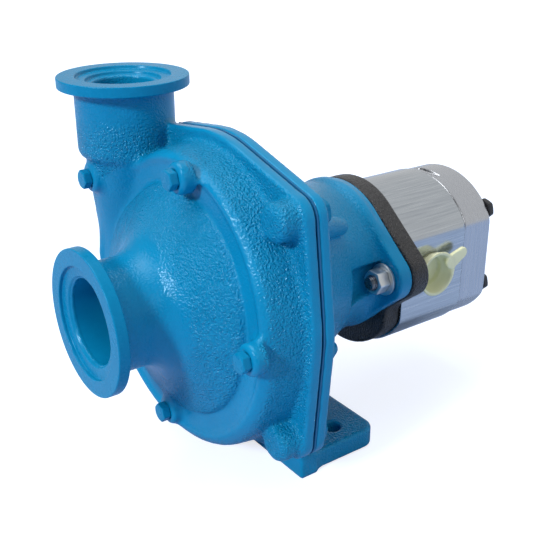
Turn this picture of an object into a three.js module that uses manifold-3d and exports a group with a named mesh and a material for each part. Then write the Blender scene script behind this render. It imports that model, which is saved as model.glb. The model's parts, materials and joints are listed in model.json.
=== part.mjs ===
// Close-coupled centrifugal pump driven by a hydraulic gear motor.
//
// Frame: millimetres, +Z up, +Y from the suction flange towards the motor, +X to the right seen
// from the suction side. The origin is on the underside of the foot, midway between its two holes.
// Everything that turns or seats on the shaft line is modelled around y with z = 0 on that line,
// and the whole machine is lifted by shaftHeight at the end.

import * as THREE from "three";
import { mergeVertices } from "three/addons/utils/BufferGeometryUtils.js";
import Module from "manifold-3d";

const wasm = await Module();
wasm.setup();

// ---------------------------------------------------------------- driving dimensions

const shaftHeight = 108; // shaft line above the underside of the foot
const fitGap = 0.3; // between pieces that bear on each other
const runGap = 0.6; // between pieces that turn past each other

const rim = {
  circle: 97, // radius of the joint rim between its lugs
  corner: { angle: 122, pitch: 98, radius: 8 }, // beside the discharge neck, with no bolt
  notchX: -49, notchZ: 62, // the bracket is cut away left of and above these, round the neck
  front: -54, // front face of the casing's half
  joint: -46, // gasket plane
  rear: -38, // rear face of the bracket's half
  gasket: 0.8,
};
const lugs = [
  { angle: 41, pitch: 101, radius: 13 },
  { angle: 168, pitch: 107, radius: 12 }, // beside the discharge throat, clear of the flow
  { angle: 221, pitch: 103, radius: 13 },
  { angle: 319, pitch: 103, radius: 13 },
];
const casingBolt = { shank: 4.75, head: 14.3, headHeight: 6.2, depth: 16, clearance: 0.6 };
const blindBoss = { radius: 11, front: -67, crown: 4 };

const suction = {
  face: -141, flange: 43.5, thickness: 7, neck: 33, bore: 25.5, recess: 33.3, recessDepth: 2,
};
const discharge = {
  x: -77, y: -68, top: 119.5, flange: 41, thickness: 6.5, neck: 31, neckBottom: 70,
  bore: 19, recess: 29, recessDepth: 2,
  throatTop: 27, throatEnd: 16, throatBottom: 0, throatLean: -9, // cone under the neck, leaning outwards
};
const wall = 7; // casting wall of the volute
const volute = {
  cutwater: 105, // degrees, where the spiral starts
  even: 70, // degrees that it keeps its first size for
  startRadius: 89, endRadius: 103, // drum radius along the spiral
  startRound: 8, endRound: 16, // shoulder rounding along the spiral
  startFront: -79, endFront: -88, // foremost plane of the shoulder
  domeRadius: 38, domeFront: -102, domeSlope: 0.62, // cone between the neck and the shoulder
  mouth: 86, // bore at the joint, which the impeller goes in through
};
const facePlug = {
  boss: 9.5, bossFront: -89, places: [[82, 77], [85.5, -1.5], [79, -94]], // [radius, degrees]
  head: 11, headHeight: 5, shank: 4, shankLength: 8,
};
const ventPlug = { x: -79, z: 57, bossFront: -95.6 };

const shaft = {
  tip: -85, threadEnd: -73, thread: 6, impellerSeat: 9.5, sleeve: 11, sleeveEnd: -14,
  front: 12.5, collar: 17.5, rear: 15, end: 38, splineBore: 8.3, splineBoreFront: 8,
};
const impeller = {
  radius: 70, back: -47.5, backThickness: 4, outletWidth: 9, frontThickness: 3.5,
  eye: 26, ringRadius: 31, ringFront: -88, hub: 17, hubFront: -74, vanes: 6, vaneThickness: 4,
};
const wearRing = { outer: 36.5, length: 10 };
const frontBearing = { bore: 12.5, outer: 26, width: 15, y: -10, balls: 9, ball: 3.9 };
const rearBearing = { bore: 15, outer: 31, width: 16, y: 14, balls: 9, ball: 4.7 };

const bell = [[80, -38], [75, -27], [65, -12], [58, 3], [51, 18], [48.5, 39]]; // [radius, y] of the housing
const saeFlange = {
  face: 48, thickness: 10, body: 49.5, ear: 15, boltPitch: 106.4, pilot: 41.3, pilotDepth: 6.2,
};
const mountBolt = {
  shank: 4.75, hole: 5.5, nut: 14.3, nutHeight: 8.3, washer: 10.3, washerThickness: 1.6, tail: 2.6,
  head: 13.8, headHeight: 6.2, spotFace: 11.6, spotDepth: 26,
};
const foot = {
  halfWidth: 68, front: -37, rear: 24, thickness: 13, holeX: 51, hole: 5.6, corner: 10, web: 8, webTop: -70,
};

const motor = {
  flange: 13.5, ear: 16, halfWidth: 46, flatTop: 15, flatBottom: -40, top: 43, bottom: -68,
  body: 56, cover: 26, gearPitch: 30, portY: 85.5, portZ: -9, port: 12.5,
  bolts: [[36.5, 19], [38, -35]], // of the right-hand side, [x, z]
  boltShank: 4, boltHead: 13, boltHeadHeight: 4, coverInset: 1, coverStep: 1,
};
const gear = { teeth: 12, module: 2.5, pressureAngle: 25, width: 24, backlash: 0.16, bore: 17.9 };

const deg = Math.PI / 180;

// ---------------------------------------------------------------- solid helpers

// A closed geometry as a manifold-3d solid, with its faces turned outwards.
function solid(geometry) {
  const g = geometry.clone();
  for (const name of ["normal", "uv"]) if (g.getAttribute(name)) g.deleteAttribute(name);
  const merged = mergeVertices(g, 1e-4);
  const vertProperties = merged.attributes.position.array;
  const make = (tri) => new wasm.Manifold(new wasm.Mesh({ numProp: 3, vertProperties, triVerts: tri }));
  const tri = new Uint32Array(merged.index.array);
  const made = make(tri);
  if (made.volume() > 0) return made;
  for (let i = 0; i < tri.length; i += 3) [tri[i + 1], tri[i + 2]] = [tri[i + 2], tri[i + 1]];
  return make(tri);
}

function geometryOf(body) {
  const mesh = body.getMesh();
  const step = mesh.numProp;
  const position = new Float32Array(mesh.numVert * 3);
  for (let i = 0; i < mesh.numVert; i++) {
    position.set(mesh.vertProperties.subarray(i * step, i * step + 3), i * 3);
  }
  return new THREE.BufferGeometry()
    .setAttribute("position", new THREE.BufferAttribute(position, 3))
    .setIndex(new THREE.BufferAttribute(new Uint32Array(mesh.triVerts), 1));
}

const union = (...bodies) => bodies.reduce((sum, body) => sum.add(body));
const cut = (body, ...tools) => tools.reduce((rest, tool) => rest.subtract(tool), body);

// How many flats stand for a round of this radius.
const facets = (radius) => 4 * Math.round(1.6 + 0.72 * Math.sqrt(radius));

// A solid of revolution about Y from [radius, y] points; it closes on itself or on the axis.
function turned(points) {
  const segments = facets(Math.max(...points.map(([r]) => r)));
  const ends = points[0][0] > 0 ? [...points, points[0]] : points;
  return solid(new THREE.LatheGeometry(ends.map(([r, y]) => new THREE.Vector2(r, y)), segments));
}

const rod = (radius, y0, y1) => turned([[0, y0], [radius, y0], [radius, y1], [0, y1]]);
const ring = (inner, outer, y0, y1) => turned([[inner, y0], [outer, y0], [outer, y1], [inner, y1]]);

// A rod about Y moved off the shaft line.
const rodAt = (radius, y0, y1, x, z) => rod(radius, y0, y1).translate([x, 0, z]);

// A rod about Z (upright) or about X (crosswise).
const uprightRod = (radius, z0, z1, x, y) => rod(radius, z0, z1).rotate([90, 0, 0]).translate([x, y, 0]);
const crossRod = (radius, x0, x1, y, z) => rod(radius, -x1, -x0).rotate([0, 0, 90]).translate([0, y, z]);

// A turned body stood upright: its [radius, height] points run along Z.
const uprightTurned = (points, x, y) => turned(points).rotate([90, 0, 0]).translate([x, y, 0]);

// The same, with each height carried sideways by lean times the share of the way down from top to bottom.
function leaningTurned(points, x, y, top, bottom, lean) {
  return uprightTurned(points, x, y).warp((v) => {
    v[0] += lean * Math.min(1, Math.max(0, (top - v[2]) / (top - bottom)));
  });
}

// An outline in x and z, given thickness from y0 to y1.
function plate(shape, y0, y1, curveSegments = 12) {
  const g = new THREE.ExtrudeGeometry(shape, { depth: y1 - y0, bevelEnabled: false, curveSegments });
  return solid(g.rotateX(Math.PI / 2).translate(0, y1, 0));
}

const box = (x0, x1, y0, y1, z0, z1) =>
  solid(new THREE.BoxGeometry(x1 - x0, y1 - y0, z1 - z0)
    .translate((x0 + x1) / 2, (y0 + y1) / 2, (z0 + z1) / 2));

function polygonShape(points) {
  const shape = new THREE.Shape();
  points.forEach(([x, z], i) => (i ? shape.lineTo(x, z) : shape.moveTo(x, z)));
  shape.closePath();
  return shape;
}

// A hexagonal prism about Y, with the given distance across its flats.
function hexagon(acrossFlats, y0, y1, x = 0, z = 0) {
  const corner = acrossFlats / 2 / Math.cos(30 * deg);
  const points = Array.from({ length: 6 }, (_, i) => {
    const turn = i * 60 * deg;
    return [corner * Math.cos(turn), corner * Math.sin(turn)];
  });
  return plate(polygonShape(points), y0, y1).translate([x, 0, z]);
}

// The convex outline around several circles {x, z, r}, as points.
function hullOutline(circles, steps = 10) {
  const dots = circles.flatMap(({ x, z, r }) =>
    Array.from({ length: steps * 4 }, (_, i) => {
      const a = (i / (steps * 4)) * 2 * Math.PI;
      return [x + r * Math.cos(a), z + r * Math.sin(a)];
    }));
  dots.sort((a, b) => a[0] - b[0] || a[1] - b[1]);
  const turn = (o, a, b) => (a[0] - o[0]) * (b[1] - o[1]) - (a[1] - o[1]) * (b[0] - o[0]);
  const half = (list) => {
    const chain = [];
    for (const dot of list) {
      while (chain.length > 1 && turn(chain.at(-2), chain.at(-1), dot) <= 1e-6) chain.pop();
      chain.push(dot);
    }
    return chain.slice(0, -1);
  };
  return [...half(dots), ...half(dots.reverse())];
}

const polar = (radius, angle) => [radius * Math.cos(angle * deg), radius * Math.sin(angle * deg)];
const polarAt = (radius, angle) => [radius * Math.cos(angle * deg), 0, radius * Math.sin(angle * deg)];

// ---------------------------------------------------------------- materials

const finish = (color, roughness, metalness) =>
  new THREE.MeshStandardMaterial({ color, roughness, metalness });
const materials = {
  bluePaint: finish(0x0f7fc4, 0.35, 0),
  fibre: finish(0x3b3a36, 0.9, 0),
  blackIron: finish(0x26262a, 0.6, 0.2),
  aluminium: finish(0xb9bcc4, 0.35, 1),
  zinc: finish(0xc4ccd0, 0.3, 1),
  steel: finish(0x9a9ca0, 0.3, 1),
  darkSteel: finish(0x3a3c40, 0.4, 0.9),
  bronze: finish(0xa9803f, 0.4, 1),
  castIron: finish(0x54565a, 0.7, 0.6),
  rubber: finish(0x17171a, 0.85, 0),
  ceramic: finish(0xe9e6dc, 0.3, 0),
  carbon: finish(0x222224, 0.5, 0.1),
  creamPlastic: finish(0xe2e4bd, 0.45, 0),
};

const machine = new THREE.Group();
machine.position.z = shaftHeight;

function piece(name, body, material) {
  const mesh = new THREE.Mesh(geometryOf(body), material);
  mesh.name = name;
  machine.add(mesh);
}

// ---------------------------------------------------------------- volute casing

// Share of the spiral run, from 0 just after the cutwater to 1 at the throat, going clockwise seen
// from the suction side; past the throat it falls back to 0 under the discharge neck.
function spiralShare(angle) {
  const run = (((volute.cutwater - angle) % 360) + 360) % 360;
  const throat = volute.cutwater + 180; // the spiral ends where the throat rises, at 180 degrees
  const { even } = volute;
  return run <= throat ? Math.max(0, run - even) / (throat - even) : Math.max(0, 1 - (run - throat) / 50);
}

const mix = (a, b, t) => a + (b - a) * t;
const drumSteps = 40; // flats round the spiral
const roundSteps = 3; // flats on its shoulder

// The [radius, y] outline of the drum at one angle, offset inwards by inset, from its rim to the dome.
function drumProfile(angle, inset) {
  const t = spiralShare(angle);
  const outer = mix(volute.startRadius, volute.endRadius, t) - inset;
  const round = mix(volute.startRound, volute.endRound, t) - inset / 2;
  const front = mix(volute.startFront, volute.endFront, t) + inset;
  const shoulder = Array.from({ length: roundSteps + 1 }, (_, i) => {
    const [across, forward] = polar(round, (i / roundSteps) * 90);
    return [outer - round + across, front + round - forward];
  });
  const trough = outer - round - 4;
  const dome = (r) => volute.domeFront + inset + (r - volute.domeRadius) * volute.domeSlope;
  const foot = volute.domeRadius + (front + 1 - dome(volute.domeRadius)) / volute.domeSlope;
  return [...shoulder, [Math.min(trough, foot), front + 1], [volute.domeRadius, dome(volute.domeRadius)]];
}

// A drum whose outline changes with the angle: a grid of profile points by angle, closed on the axis.
// Its back is flat at yBack, and a plain cylinder of frontRadius carries it on to yFront.
function drum(inset, yBack, frontRadius, yFront) {
  const columns = Array.from({ length: drumSteps }, (_, i) => {
    const angle = (i / drumSteps) * 360;
    const profile = drumProfile(angle, inset);
    const stem = [[frontRadius, profile.at(-1)[1]], [frontRadius, yFront]];
    return [[profile[0][0], yBack], ...profile, ...stem].map(([r, y]) => {
      const [x, z] = polar(r, angle);
      return [x, y, z];
    });
  });
  const rows = columns[0].length;
  const position = [...columns.flat(2), 0, yBack, 0, 0, yFront, 0];
  const back = drumSteps * rows;
  const index = [];
  columns.forEach((_, i) => {
    const here = i * rows;
    const next = ((i + 1) % drumSteps) * rows;
    for (let j = 0; j + 1 < rows; j++) {
      index.push(here + j, next + j, here + j + 1, next + j, next + j + 1, here + j + 1);
    }
    index.push(back, next, here, back + 1, here + rows - 1, next + rows - 1);
  });
  const g = new THREE.BufferGeometry();
  g.setAttribute("position", new THREE.Float32BufferAttribute(position, 3));
  g.setIndex(index);
  return solid(g);
}

const circleAt = ({ angle, pitch, radius }) => {
  const [x, z] = polar(pitch, angle);
  return { x, z, r: radius };
};
const lugCircles = lugs.map(circleAt);
const rimOutline = hullOutline([{ x: 0, z: 0, r: rim.circle }, ...lugCircles, circleAt(rim.corner)]);
const rimShape = polygonShape(rimOutline);

const boltHoles = (radius, y0, y1) => lugCircles.map(({ x, z }) => rodAt(radius, y0, y1, x, z));

// What the bracket and its gasket leave free for the foot of the discharge neck.
const neckNotch = () =>
  box(discharge.x - discharge.flange, rim.notchX, rim.joint - 1, rim.rear + 1,
    rim.notchZ, rim.circle + rim.corner.radius);

const facePlugs = [
  ...facePlug.places.map(([pitch, angle]) => {
    const [x, z] = polar(pitch, angle);
    return { x, z, seat: facePlug.bossFront };
  }),
  { x: ventPlug.x, z: ventPlug.z, seat: ventPlug.bossFront },
];

// The upright discharge branch: a cone leaning in from the volute's flank, the neck and the flange.
function dischargeBranch() {
  const d = discharge;
  const cone = [[0, d.throatBottom], [d.throatEnd, d.throatBottom], [d.throatTop, d.neckBottom - 4],
    [d.neck, d.neckBottom], [d.neck, d.top - 1], [0, d.top - 1]];
  const flange = [[0, d.top - d.thickness], [d.flange, d.top - d.thickness], [d.flange, d.top], [0, d.top]];
  const branch = union(
    leaningTurned(cone, d.x, d.y, d.neckBottom, d.throatBottom, d.throatLean),
    uprightTurned(flange, d.x, d.y),
  );
  const behind = box(d.x - d.flange, d.x + d.flange, rim.joint - fitGap, rim.rear + d.neck,
    -rim.circle, rim.notchZ + fitGap);
  return branch.subtract(behind); // the bracket's rim passes behind the throat
}

function dischargeBore() {
  const d = discharge;
  const way = [[0, d.throatBottom + wall], [d.throatEnd - wall / 2, d.throatBottom + wall],
    [d.bore, d.neckBottom], [d.bore, d.top + 1], [0, d.top + 1]];
  return union(
    leaningTurned(way, d.x, d.y, d.neckBottom, d.throatBottom, d.throatLean),
    uprightRod(d.recess, d.top - d.recessDepth, d.top + 1, d.x, d.y),
  );
}

function voluteCasing() {
  const rear = rim.joint - fitGap;
  const { radius: blindRadius, front: blindFront, crown } = blindBoss;
  const blind = [[0, rim.front + 1], [blindRadius + 1, rim.front + 1], [blindRadius, blindFront + crown],
    [blindRadius - crown, blindFront], [0, blindFront]];
  const body = union(
    plate(rimShape, rim.front, rear),
    drum(0, rim.front + 1, suction.neck, suction.face + 1),
    rod(suction.flange, suction.face, suction.face + suction.thickness),
    dischargeBranch(),
    ...lugCircles.map(({ x, z }) => turned(blind).translate([x, 0, z])),
    ...facePlugs.map(({ x, z, seat }) => rodAt(facePlug.boss, seat, rim.front + 1, x, z)),
  );
  return cut(
    body,
    drum(wall, rim.front - 1, wearRing.outer + fitGap, impeller.ringFront - fitGap),
    rod(volute.mouth, rim.front - wall, rear + 1),
    rod(suction.bore, suction.face - 1, impeller.ringFront + 1),
    rod(suction.recess, suction.face - 1, suction.face + suction.recessDepth),
    dischargeBore(),
    ...boltHoles(casingBolt.shank + fitGap, rear - casingBolt.depth, rear + 1),
    ...facePlugs.map(({ x, z, seat }) =>
      rodAt(facePlug.shank + fitGap, seat - 1, seat + facePlug.shankLength + fitGap, x, z)),
  );
}

// ---------------------------------------------------------------- bracket

const earX = saeFlange.boltPitch / 2;
const earOutline = (ear) =>
  polygonShape(hullOutline([
    { x: 0, z: 0, r: saeFlange.body }, { x: earX, z: 0, r: ear }, { x: -earX, z: 0, r: ear },
  ]));
const seal = {
  chamber: 24, bore: 20.3, cup: 20, seatOuter: 17.4, seatInner: 12.4, // radii
  boreFront: -27, seatFront: -28, seatRear: -22.3, wallRear: -18, // planes of the fixed half
  face: 16, faceLength: 4, bellows: 13.2, spring: 15, wire: 0.8, retainer: 17,
};

function mountingBracket() {
  const face = saeFlange.face - fitGap;
  const rimBand = plate(rimShape, rim.joint + rim.gasket + fitGap, rim.rear);
  const flange = plate(earOutline(saeFlange.ear), face - saeFlange.thickness, face);
  const housing = turned([[0, rim.rear - 1], [bell[0][0], rim.rear - 1], ...bell, [0, bell.at(-1)[1]]]);
  const gusset = [[0, rim.rear - 1], [12, rim.rear - 1], [11, -8], [6, -2], [0, -2]]; // [radius, y]
  const gussets = [41, 131, 221, 311].map((angle) => turned(gusset).translate(polarAt(bell[1][0], angle)));
  const base = new THREE.Shape();
  const { halfWidth: w, front, rear, corner } = foot;
  base.moveTo(-w, front);
  base.lineTo(w, front);
  base.lineTo(w, rear - corner);
  base.absarc(w - corner, rear - corner, corner, 0, Math.PI / 2);
  base.lineTo(-w + corner, rear);
  base.absarc(-w + corner, rear - corner, corner, Math.PI / 2, Math.PI);
  const floor = -shaftHeight;
  const thick = { depth: foot.thickness, bevelEnabled: false, curveSegments: 6 };
  const pad = solid(new THREE.ExtrudeGeometry(base, thick)).translate([0, 0, floor]);
  const knee = floor + foot.thickness + 2; // where the web starts to narrow
  const shoulder = w - 6;
  const lift = polygonShape([[-w, floor + 1], [w, floor + 1], [w, knee],
    [shoulder, foot.webTop], [-shoulder, foot.webTop], [-w, knee]]);
  const web = plate(lift, foot.front, foot.front + foot.web);
  const body = union(rimBand, housing, flange, ...gussets, pad, web);
  const step = fitGap + 0.1; // a bearing's pocket is this much deeper than the bearing
  const spot = face - saeFlange.thickness;
  const weepY = (seal.wallRear + frontBearing.y - 3) / 2;
  return cut(
    body,
    neckNotch(),
    rod(seal.chamber, rim.joint, seal.boreFront),
    rod(seal.bore, rim.joint, seal.seatRear + fitGap),
    rod(shaft.sleeve + 2.5, seal.seatRear, frontBearing.y),
    ring(shaft.sleeve + 2, frontBearing.outer + 6, seal.wallRear, frontBearing.y - 3), // drip chamber
    uprightRod(2, -bell[0][0], -frontBearing.outer, 0, weepY), // weep hole
    rod(frontBearing.outer + fitGap, frontBearing.y - step, frontBearing.y + frontBearing.width + 1),
    rod(shaft.collar + 4, frontBearing.y, rearBearing.y + 1),
    rod(rearBearing.outer + fitGap, rearBearing.y - step, face),
    rod(saeFlange.pilot + fitGap, face - saeFlange.pilotDepth, face + 1),
    ...[-1, 1].map((side) => rodAt(mountBolt.hole, spot - 1, face + 1, side * earX, 0)),
    ...[-1, 1].map((side) => rodAt(mountBolt.spotFace, spot - mountBolt.spotDepth, spot, side * earX, 0)),
    ...boltHoles(casingBolt.shank + casingBolt.clearance, rim.joint - 1, rim.rear + 1),
    ...[-1, 1].map((side) =>
      uprightRod(foot.hole, floor - 1, floor + foot.thickness + 1, side * foot.holeX, 0)),
  );
}

function casingGasket() {
  const sheet = plate(rimShape, rim.joint, rim.joint + rim.gasket);
  return cut(
    sheet,
    neckNotch(),
    rod(volute.mouth, rim.joint - 1, rim.joint + 2),
    ...boltHoles(casingBolt.shank + casingBolt.clearance, rim.joint - 1, rim.joint + 2),
  );
}

function bolt(headFlats, headHeight, shankRadius, length) {
  // The head stands behind y = 0 and the shank runs forwards from it.
  return union(hexagon(headFlats, 0, headHeight), rod(shankRadius, -length, 1));
}

// ---------------------------------------------------------------- rotor

const keyway = { width: 4.7, front: -70.7, rear: -55.3, depth: 2.7, rise: 2.2 };

function pumpShaft() {
  const s = shaft;
  const shoulder = impeller.back + fitGap;
  const collar = frontBearing.y + frontBearing.width + fitGap;
  const body = turned([
    [0, s.tip], [s.thread - 1, s.tip], [s.thread, s.tip + 1], [s.thread, s.threadEnd],
    [s.impellerSeat, s.threadEnd], [s.impellerSeat, shoulder], [s.sleeve, shoulder],
    [s.sleeve, s.sleeveEnd], [s.front - fitGap, s.sleeveEnd], [s.front - fitGap, collar],
    [s.collar, collar], [s.collar, rearBearing.y - fitGap],
    [s.rear - fitGap, rearBearing.y - fitGap], [s.rear - fitGap, s.end], [0, s.end],
  ]);
  const slot = keyway.width / 2 + fitGap;
  return cut(
    body,
    rod(s.splineBore, s.splineBoreFront, s.end + 1),
    box(-slot, slot, keyway.front - fitGap, keyway.rear + fitGap,
      s.impellerSeat - keyway.depth - fitGap, s.sleeve),
  );
}

function vane(start) {
  // A backward-curved blade: its angle falls behind as the radius grows from the eye to the rim.
  const steps = 6;
  const inner = impeller.eye - 4;
  const side = (offset) => Array.from({ length: steps + 1 }, (_, i) => {
    const share = i / steps;
    const radius = mix(inner, impeller.radius - 0.5, share);
    return polar(radius, start + 105 * share - 30 * share * share + (offset / radius) / deg);
  });
  const half = impeller.vaneThickness / 2;
  const points = [...side(-half), ...side(half).reverse()];
  return plate(polygonShape(points), impeller.back - impeller.backThickness - 24, impeller.back - 1);
}

function impellerWheel() {
  const i = impeller;
  const rear = i.back;
  const floor = rear - i.backThickness;
  const outlet = floor - i.outletWidth;
  const cone = i.ringFront + 12; // where the front shroud leaves the ring
  const shroud = turned([[i.eye, i.ringFront], [i.ringRadius, i.ringFront], [i.ringRadius, cone],
    [i.ringRadius + 6, cone + 6], [i.radius, outlet - i.frontThickness], [i.radius, outlet],
    [i.ringRadius + 4, cone + 11], [i.eye, cone + 3]]);
  const disc = turned([[0, rear], [i.radius, rear], [i.radius, floor], [30, floor - 1], [i.hub, floor - 8],
    [i.hub - 2, i.hubFront], [0, i.hubFront]]);
  const space = turned([[0, rear - 0.5], [i.radius, rear - 0.5], [i.radius, outlet - 1],
    [i.ringRadius + 4, cone + 9],
    [i.eye + 1, cone + 1], [0, cone + 1]]);
  const slot = keyway.width / 2 + fitGap;
  const vanes = Array.from({ length: i.vanes }, (_, n) => vane((n * 360) / i.vanes).intersect(space));
  return cut(
    union(disc, shroud, ...vanes),
    rod(shaft.impellerSeat + fitGap, i.hubFront - 1, rear + 1),
    box(-slot, slot, i.hubFront - 1, keyway.rear + fitGap, 0, shaft.impellerSeat + keyway.rise + fitGap),
    ...[60, 180, 300].map((angle) => rodAt(3, -62, -40, ...polar(24, angle))), // balance holes
  );
}

function impellerKey() {
  const { width, front, rear, depth, rise } = keyway;
  return box(-width / 2, width / 2, front, rear, shaft.impellerSeat - depth, shaft.impellerSeat + rise);
}

const hubWasher = { radius: 13, thickness: 1.5 };
const hubNut = { flats: 19, height: 8 };
const washerRear = impeller.hubFront - fitGap;
const nutRear = washerRear - hubWasher.thickness - fitGap;
const impellerWasher = () =>
  ring(shaft.thread + fitGap, hubWasher.radius, washerRear - hubWasher.thickness, washerRear);
const impellerNut = () =>
  hexagon(hubNut.flats, nutRear - hubNut.height, nutRear)
    .subtract(rod(shaft.thread + fitGap, nutRear - 20, nutRear + 1));

// ---------------------------------------------------------------- shaft seal and bearings

const sleeveFit = shaft.sleeve + fitGap;
const faceRear = seal.seatFront - fitGap;
const faceFront = faceRear - seal.faceLength;
const retainerFront = impeller.back + 2 * fitGap;
const retainerRear = retainerFront + 1.4;

const sealSeat = () => ring(seal.seatInner, seal.seatOuter, seal.seatFront, seal.seatRear);
const sealCup = () => ring(seal.seatOuter + fitGap, seal.cup, seal.seatFront + 2, seal.seatRear);
const sealFace = () => ring(seal.seatInner, seal.face, faceFront, faceRear);
const sealRetainer = () => ring(sleeveFit, seal.retainer, retainerFront, retainerRear);
const sealBellows = () => ring(sleeveFit, seal.bellows, retainerRear + fitGap, faceFront - fitGap);

// A short coil round the bellows, between the retainer and the carbon face.
function sealSpring() {
  const turns = 3;
  const start = retainerRear + fitGap + seal.wire;
  const rise = faceFront - fitGap - seal.wire - start;
  const points = Array.from({ length: turns * 12 + 1 }, (_, i) => {
    const [x, z] = polar(seal.spring, i * 30);
    return new THREE.Vector3(x, start + (i / (turns * 12)) * rise, z);
  });
  const section = new THREE.Shape().absarc(0, 0, seal.wire, 0, 2 * Math.PI);
  return solid(new THREE.ExtrudeGeometry(section, {
    steps: turns * 14, curveSegments: 3, extrudePath: new THREE.CatmullRomCurve3(points),
  }));
}

function bearingParts({ bore, outer, width, y, balls, ball }) {
  const middle = (bore + outer) / 2;
  const y1 = y + width;
  const centre = (y + y1) / 2;
  const gap = ball + 0.7;
  const groove = ring(middle - gap, middle + gap, centre - gap, centre + gap);
  const inner = cut(ring(bore, middle - 2.6, y, y1), groove);
  const race = cut(ring(middle + 2.6, outer, y, y1), groove);
  const cage = union(ring(middle - 1.2, middle + 1.2, centre - 1.6, centre + 1.6),
    ...Array.from({ length: balls }, (_, i) => {
      const [x, z] = polar(middle, (i * 360) / balls);
      return solid(new THREE.SphereGeometry(ball, 6, 4)).translate([x, centre, z]);
    }));
  return { inner, race, cage };
}

function retainingRing() {
  const y = rearBearing.y + rearBearing.width + fitGap;
  const gap = box(-4, 4, y - 1, y + 3, rearBearing.outer - 11, rearBearing.outer + 9);
  return cut(ring(rearBearing.outer - 3, rearBearing.outer - 0.2, y, y + 1.6), gap);
}

// ---------------------------------------------------------------- hydraulic motor

const flangeY = saeFlange.face;
const bodyY = flangeY + motor.flange;
const coverY = bodyY + motor.body;
const rearY = coverY + motor.cover;

// The body's section: straight sides joined by a shallow arc over each gear.
function motorSection(inset = 0) {
  const w = motor.halfWidth - inset;
  const arc = (flat, crown) => {
    const rise = Math.abs(crown - flat) - inset;
    const radius = (w * w + rise * rise) / (2 * rise);
    const centre = flat + Math.sign(crown - flat) * (rise - radius);
    return { centre, radius, half: Math.asin(w / radius) };
  };
  const top = arc(motor.flatTop, motor.top);
  const low = arc(motor.flatBottom, motor.bottom);
  const shape = new THREE.Shape();
  shape.absarc(0, top.centre, top.radius, Math.PI / 2 - top.half, Math.PI / 2 + top.half, false);
  shape.absarc(0, low.centre, low.radius, 1.5 * Math.PI - low.half, 1.5 * Math.PI + low.half, false);
  shape.closePath();
  return shape;
}

const motorBolts = [-1, 1].flatMap((side) => motor.bolts.map(([x, z]) => [side * x, z]));
const gearCentres = [0, -motor.gearPitch];
const journal = 8.5;
const motorShaft = 7.8;

const throughBolts = (y0, y1, clearance) =>
  motorBolts.map(([x, z]) => rodAt(motor.boltShank + clearance, y0, y1, x, z));

function motorFlange() {
  const front = flangeY;
  const rear = bodyY - fitGap;
  const outline = plate(earOutline(motor.ear), front, rear);
  const body = union(outline, plate(motorSection(1.5), front, rear),
    rod(saeFlange.pilot - fitGap, front - saeFlange.pilotDepth + 1, front + 1));
  return cut(
    body,
    rod(motorShaft + 3, front - 10, rear + 1),
    rod(15, front - 10, front + 3), // lip seal seat
    ...[-1, 1].map((side) => rodAt(mountBolt.hole, front - 1, rear + 1, side * earX, 0)),
    ...throughBolts(rear - 9, rear + 1, fitGap),
  );
}

function motorBody() {
  const front = bodyY;
  const rear = coverY - fitGap;
  const chambers = gearCentres.map((z) => rodAt(gear.bore + 0.25, front - 1, rear + 1, 0, z));
  return cut(
    plate(motorSection(), front, rear),
    ...chambers,
    crossRod(motor.port, -motor.halfWidth - 1, motor.halfWidth + 1, motor.portY, motor.portZ),
    ...throughBolts(front - 1, rear + 1, fitGap),
  );
}

function motorCover() {
  const { coverInset: inset, coverStep: step } = motor;
  const body = union(plate(motorSection(inset), coverY, rearY - step),
    plate(motorSection(inset + step), rearY - step - 1, rearY));
  return cut(
    body,
    ...gearCentres.map((z) => rodAt(journal + 3, coverY - 1, coverY + 6, 0, z)),
    ...throughBolts(coverY - 1, rearY + 1, fitGap),
  );
}

// One spur gear outline with involute flanks, thinned by the backlash.
function gearOutline(turn) {
  const { teeth, module: m, pressureAngle, backlash } = gear;
  const pitch = (teeth * m) / 2;
  const base = pitch * Math.cos(pressureAngle * deg);
  const tip = pitch + m * 0.95;
  const root = pitch - m * 1.25;
  const involute = (r) => Math.sqrt(Math.max(0, (r / base) ** 2 - 1)) - Math.acos(Math.min(1, base / r));
  const half = Math.PI / (2 * teeth) - backlash / pitch + involute(pitch);
  const flank = Array.from({ length: 4 }, (_, i) => mix(base, tip, i / 3))
    .map((r) => [r, half - involute(r)]);
  const rise = [[root, half + 0.02], ...flank];
  return Array.from({ length: teeth }, (_, n) => {
    const middle = ((n * 360) / teeth + turn) * deg;
    const fall = [...rise].reverse();
    return [...rise.map(([r, a]) => [r, middle - a]), ...fall.map(([r, a]) => [r, middle + a])];
  }).flat().map(([r, a]) => [r * Math.cos(a), r * Math.sin(a)]);
}

const gearY = bodyY + (motor.body - gear.width) / 2;

function gearShaft(turn, z, front) {
  const wheel = plate(polygonShape(gearOutline(turn)), gearY, gearY + gear.width);
  const shafts = [rod(journal, bodyY + 4, coverY + 2), rod(motorShaft, front, bodyY + 5)];
  return union(wheel, ...shafts).translate([0, 0, z]);
}

// The pair of bushes in one block, which carries both gears' journals.
function bearingBlock(y0, y1) {
  const bodies = gearCentres.map((z) => rodAt(gear.bore - 0.05, y0, y1, 0, z));
  return cut(union(...bodies), ...gearCentres.map((z) => rodAt(journal + 0.3, y0 - 1, y1 + 1, 0, z)));
}

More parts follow.
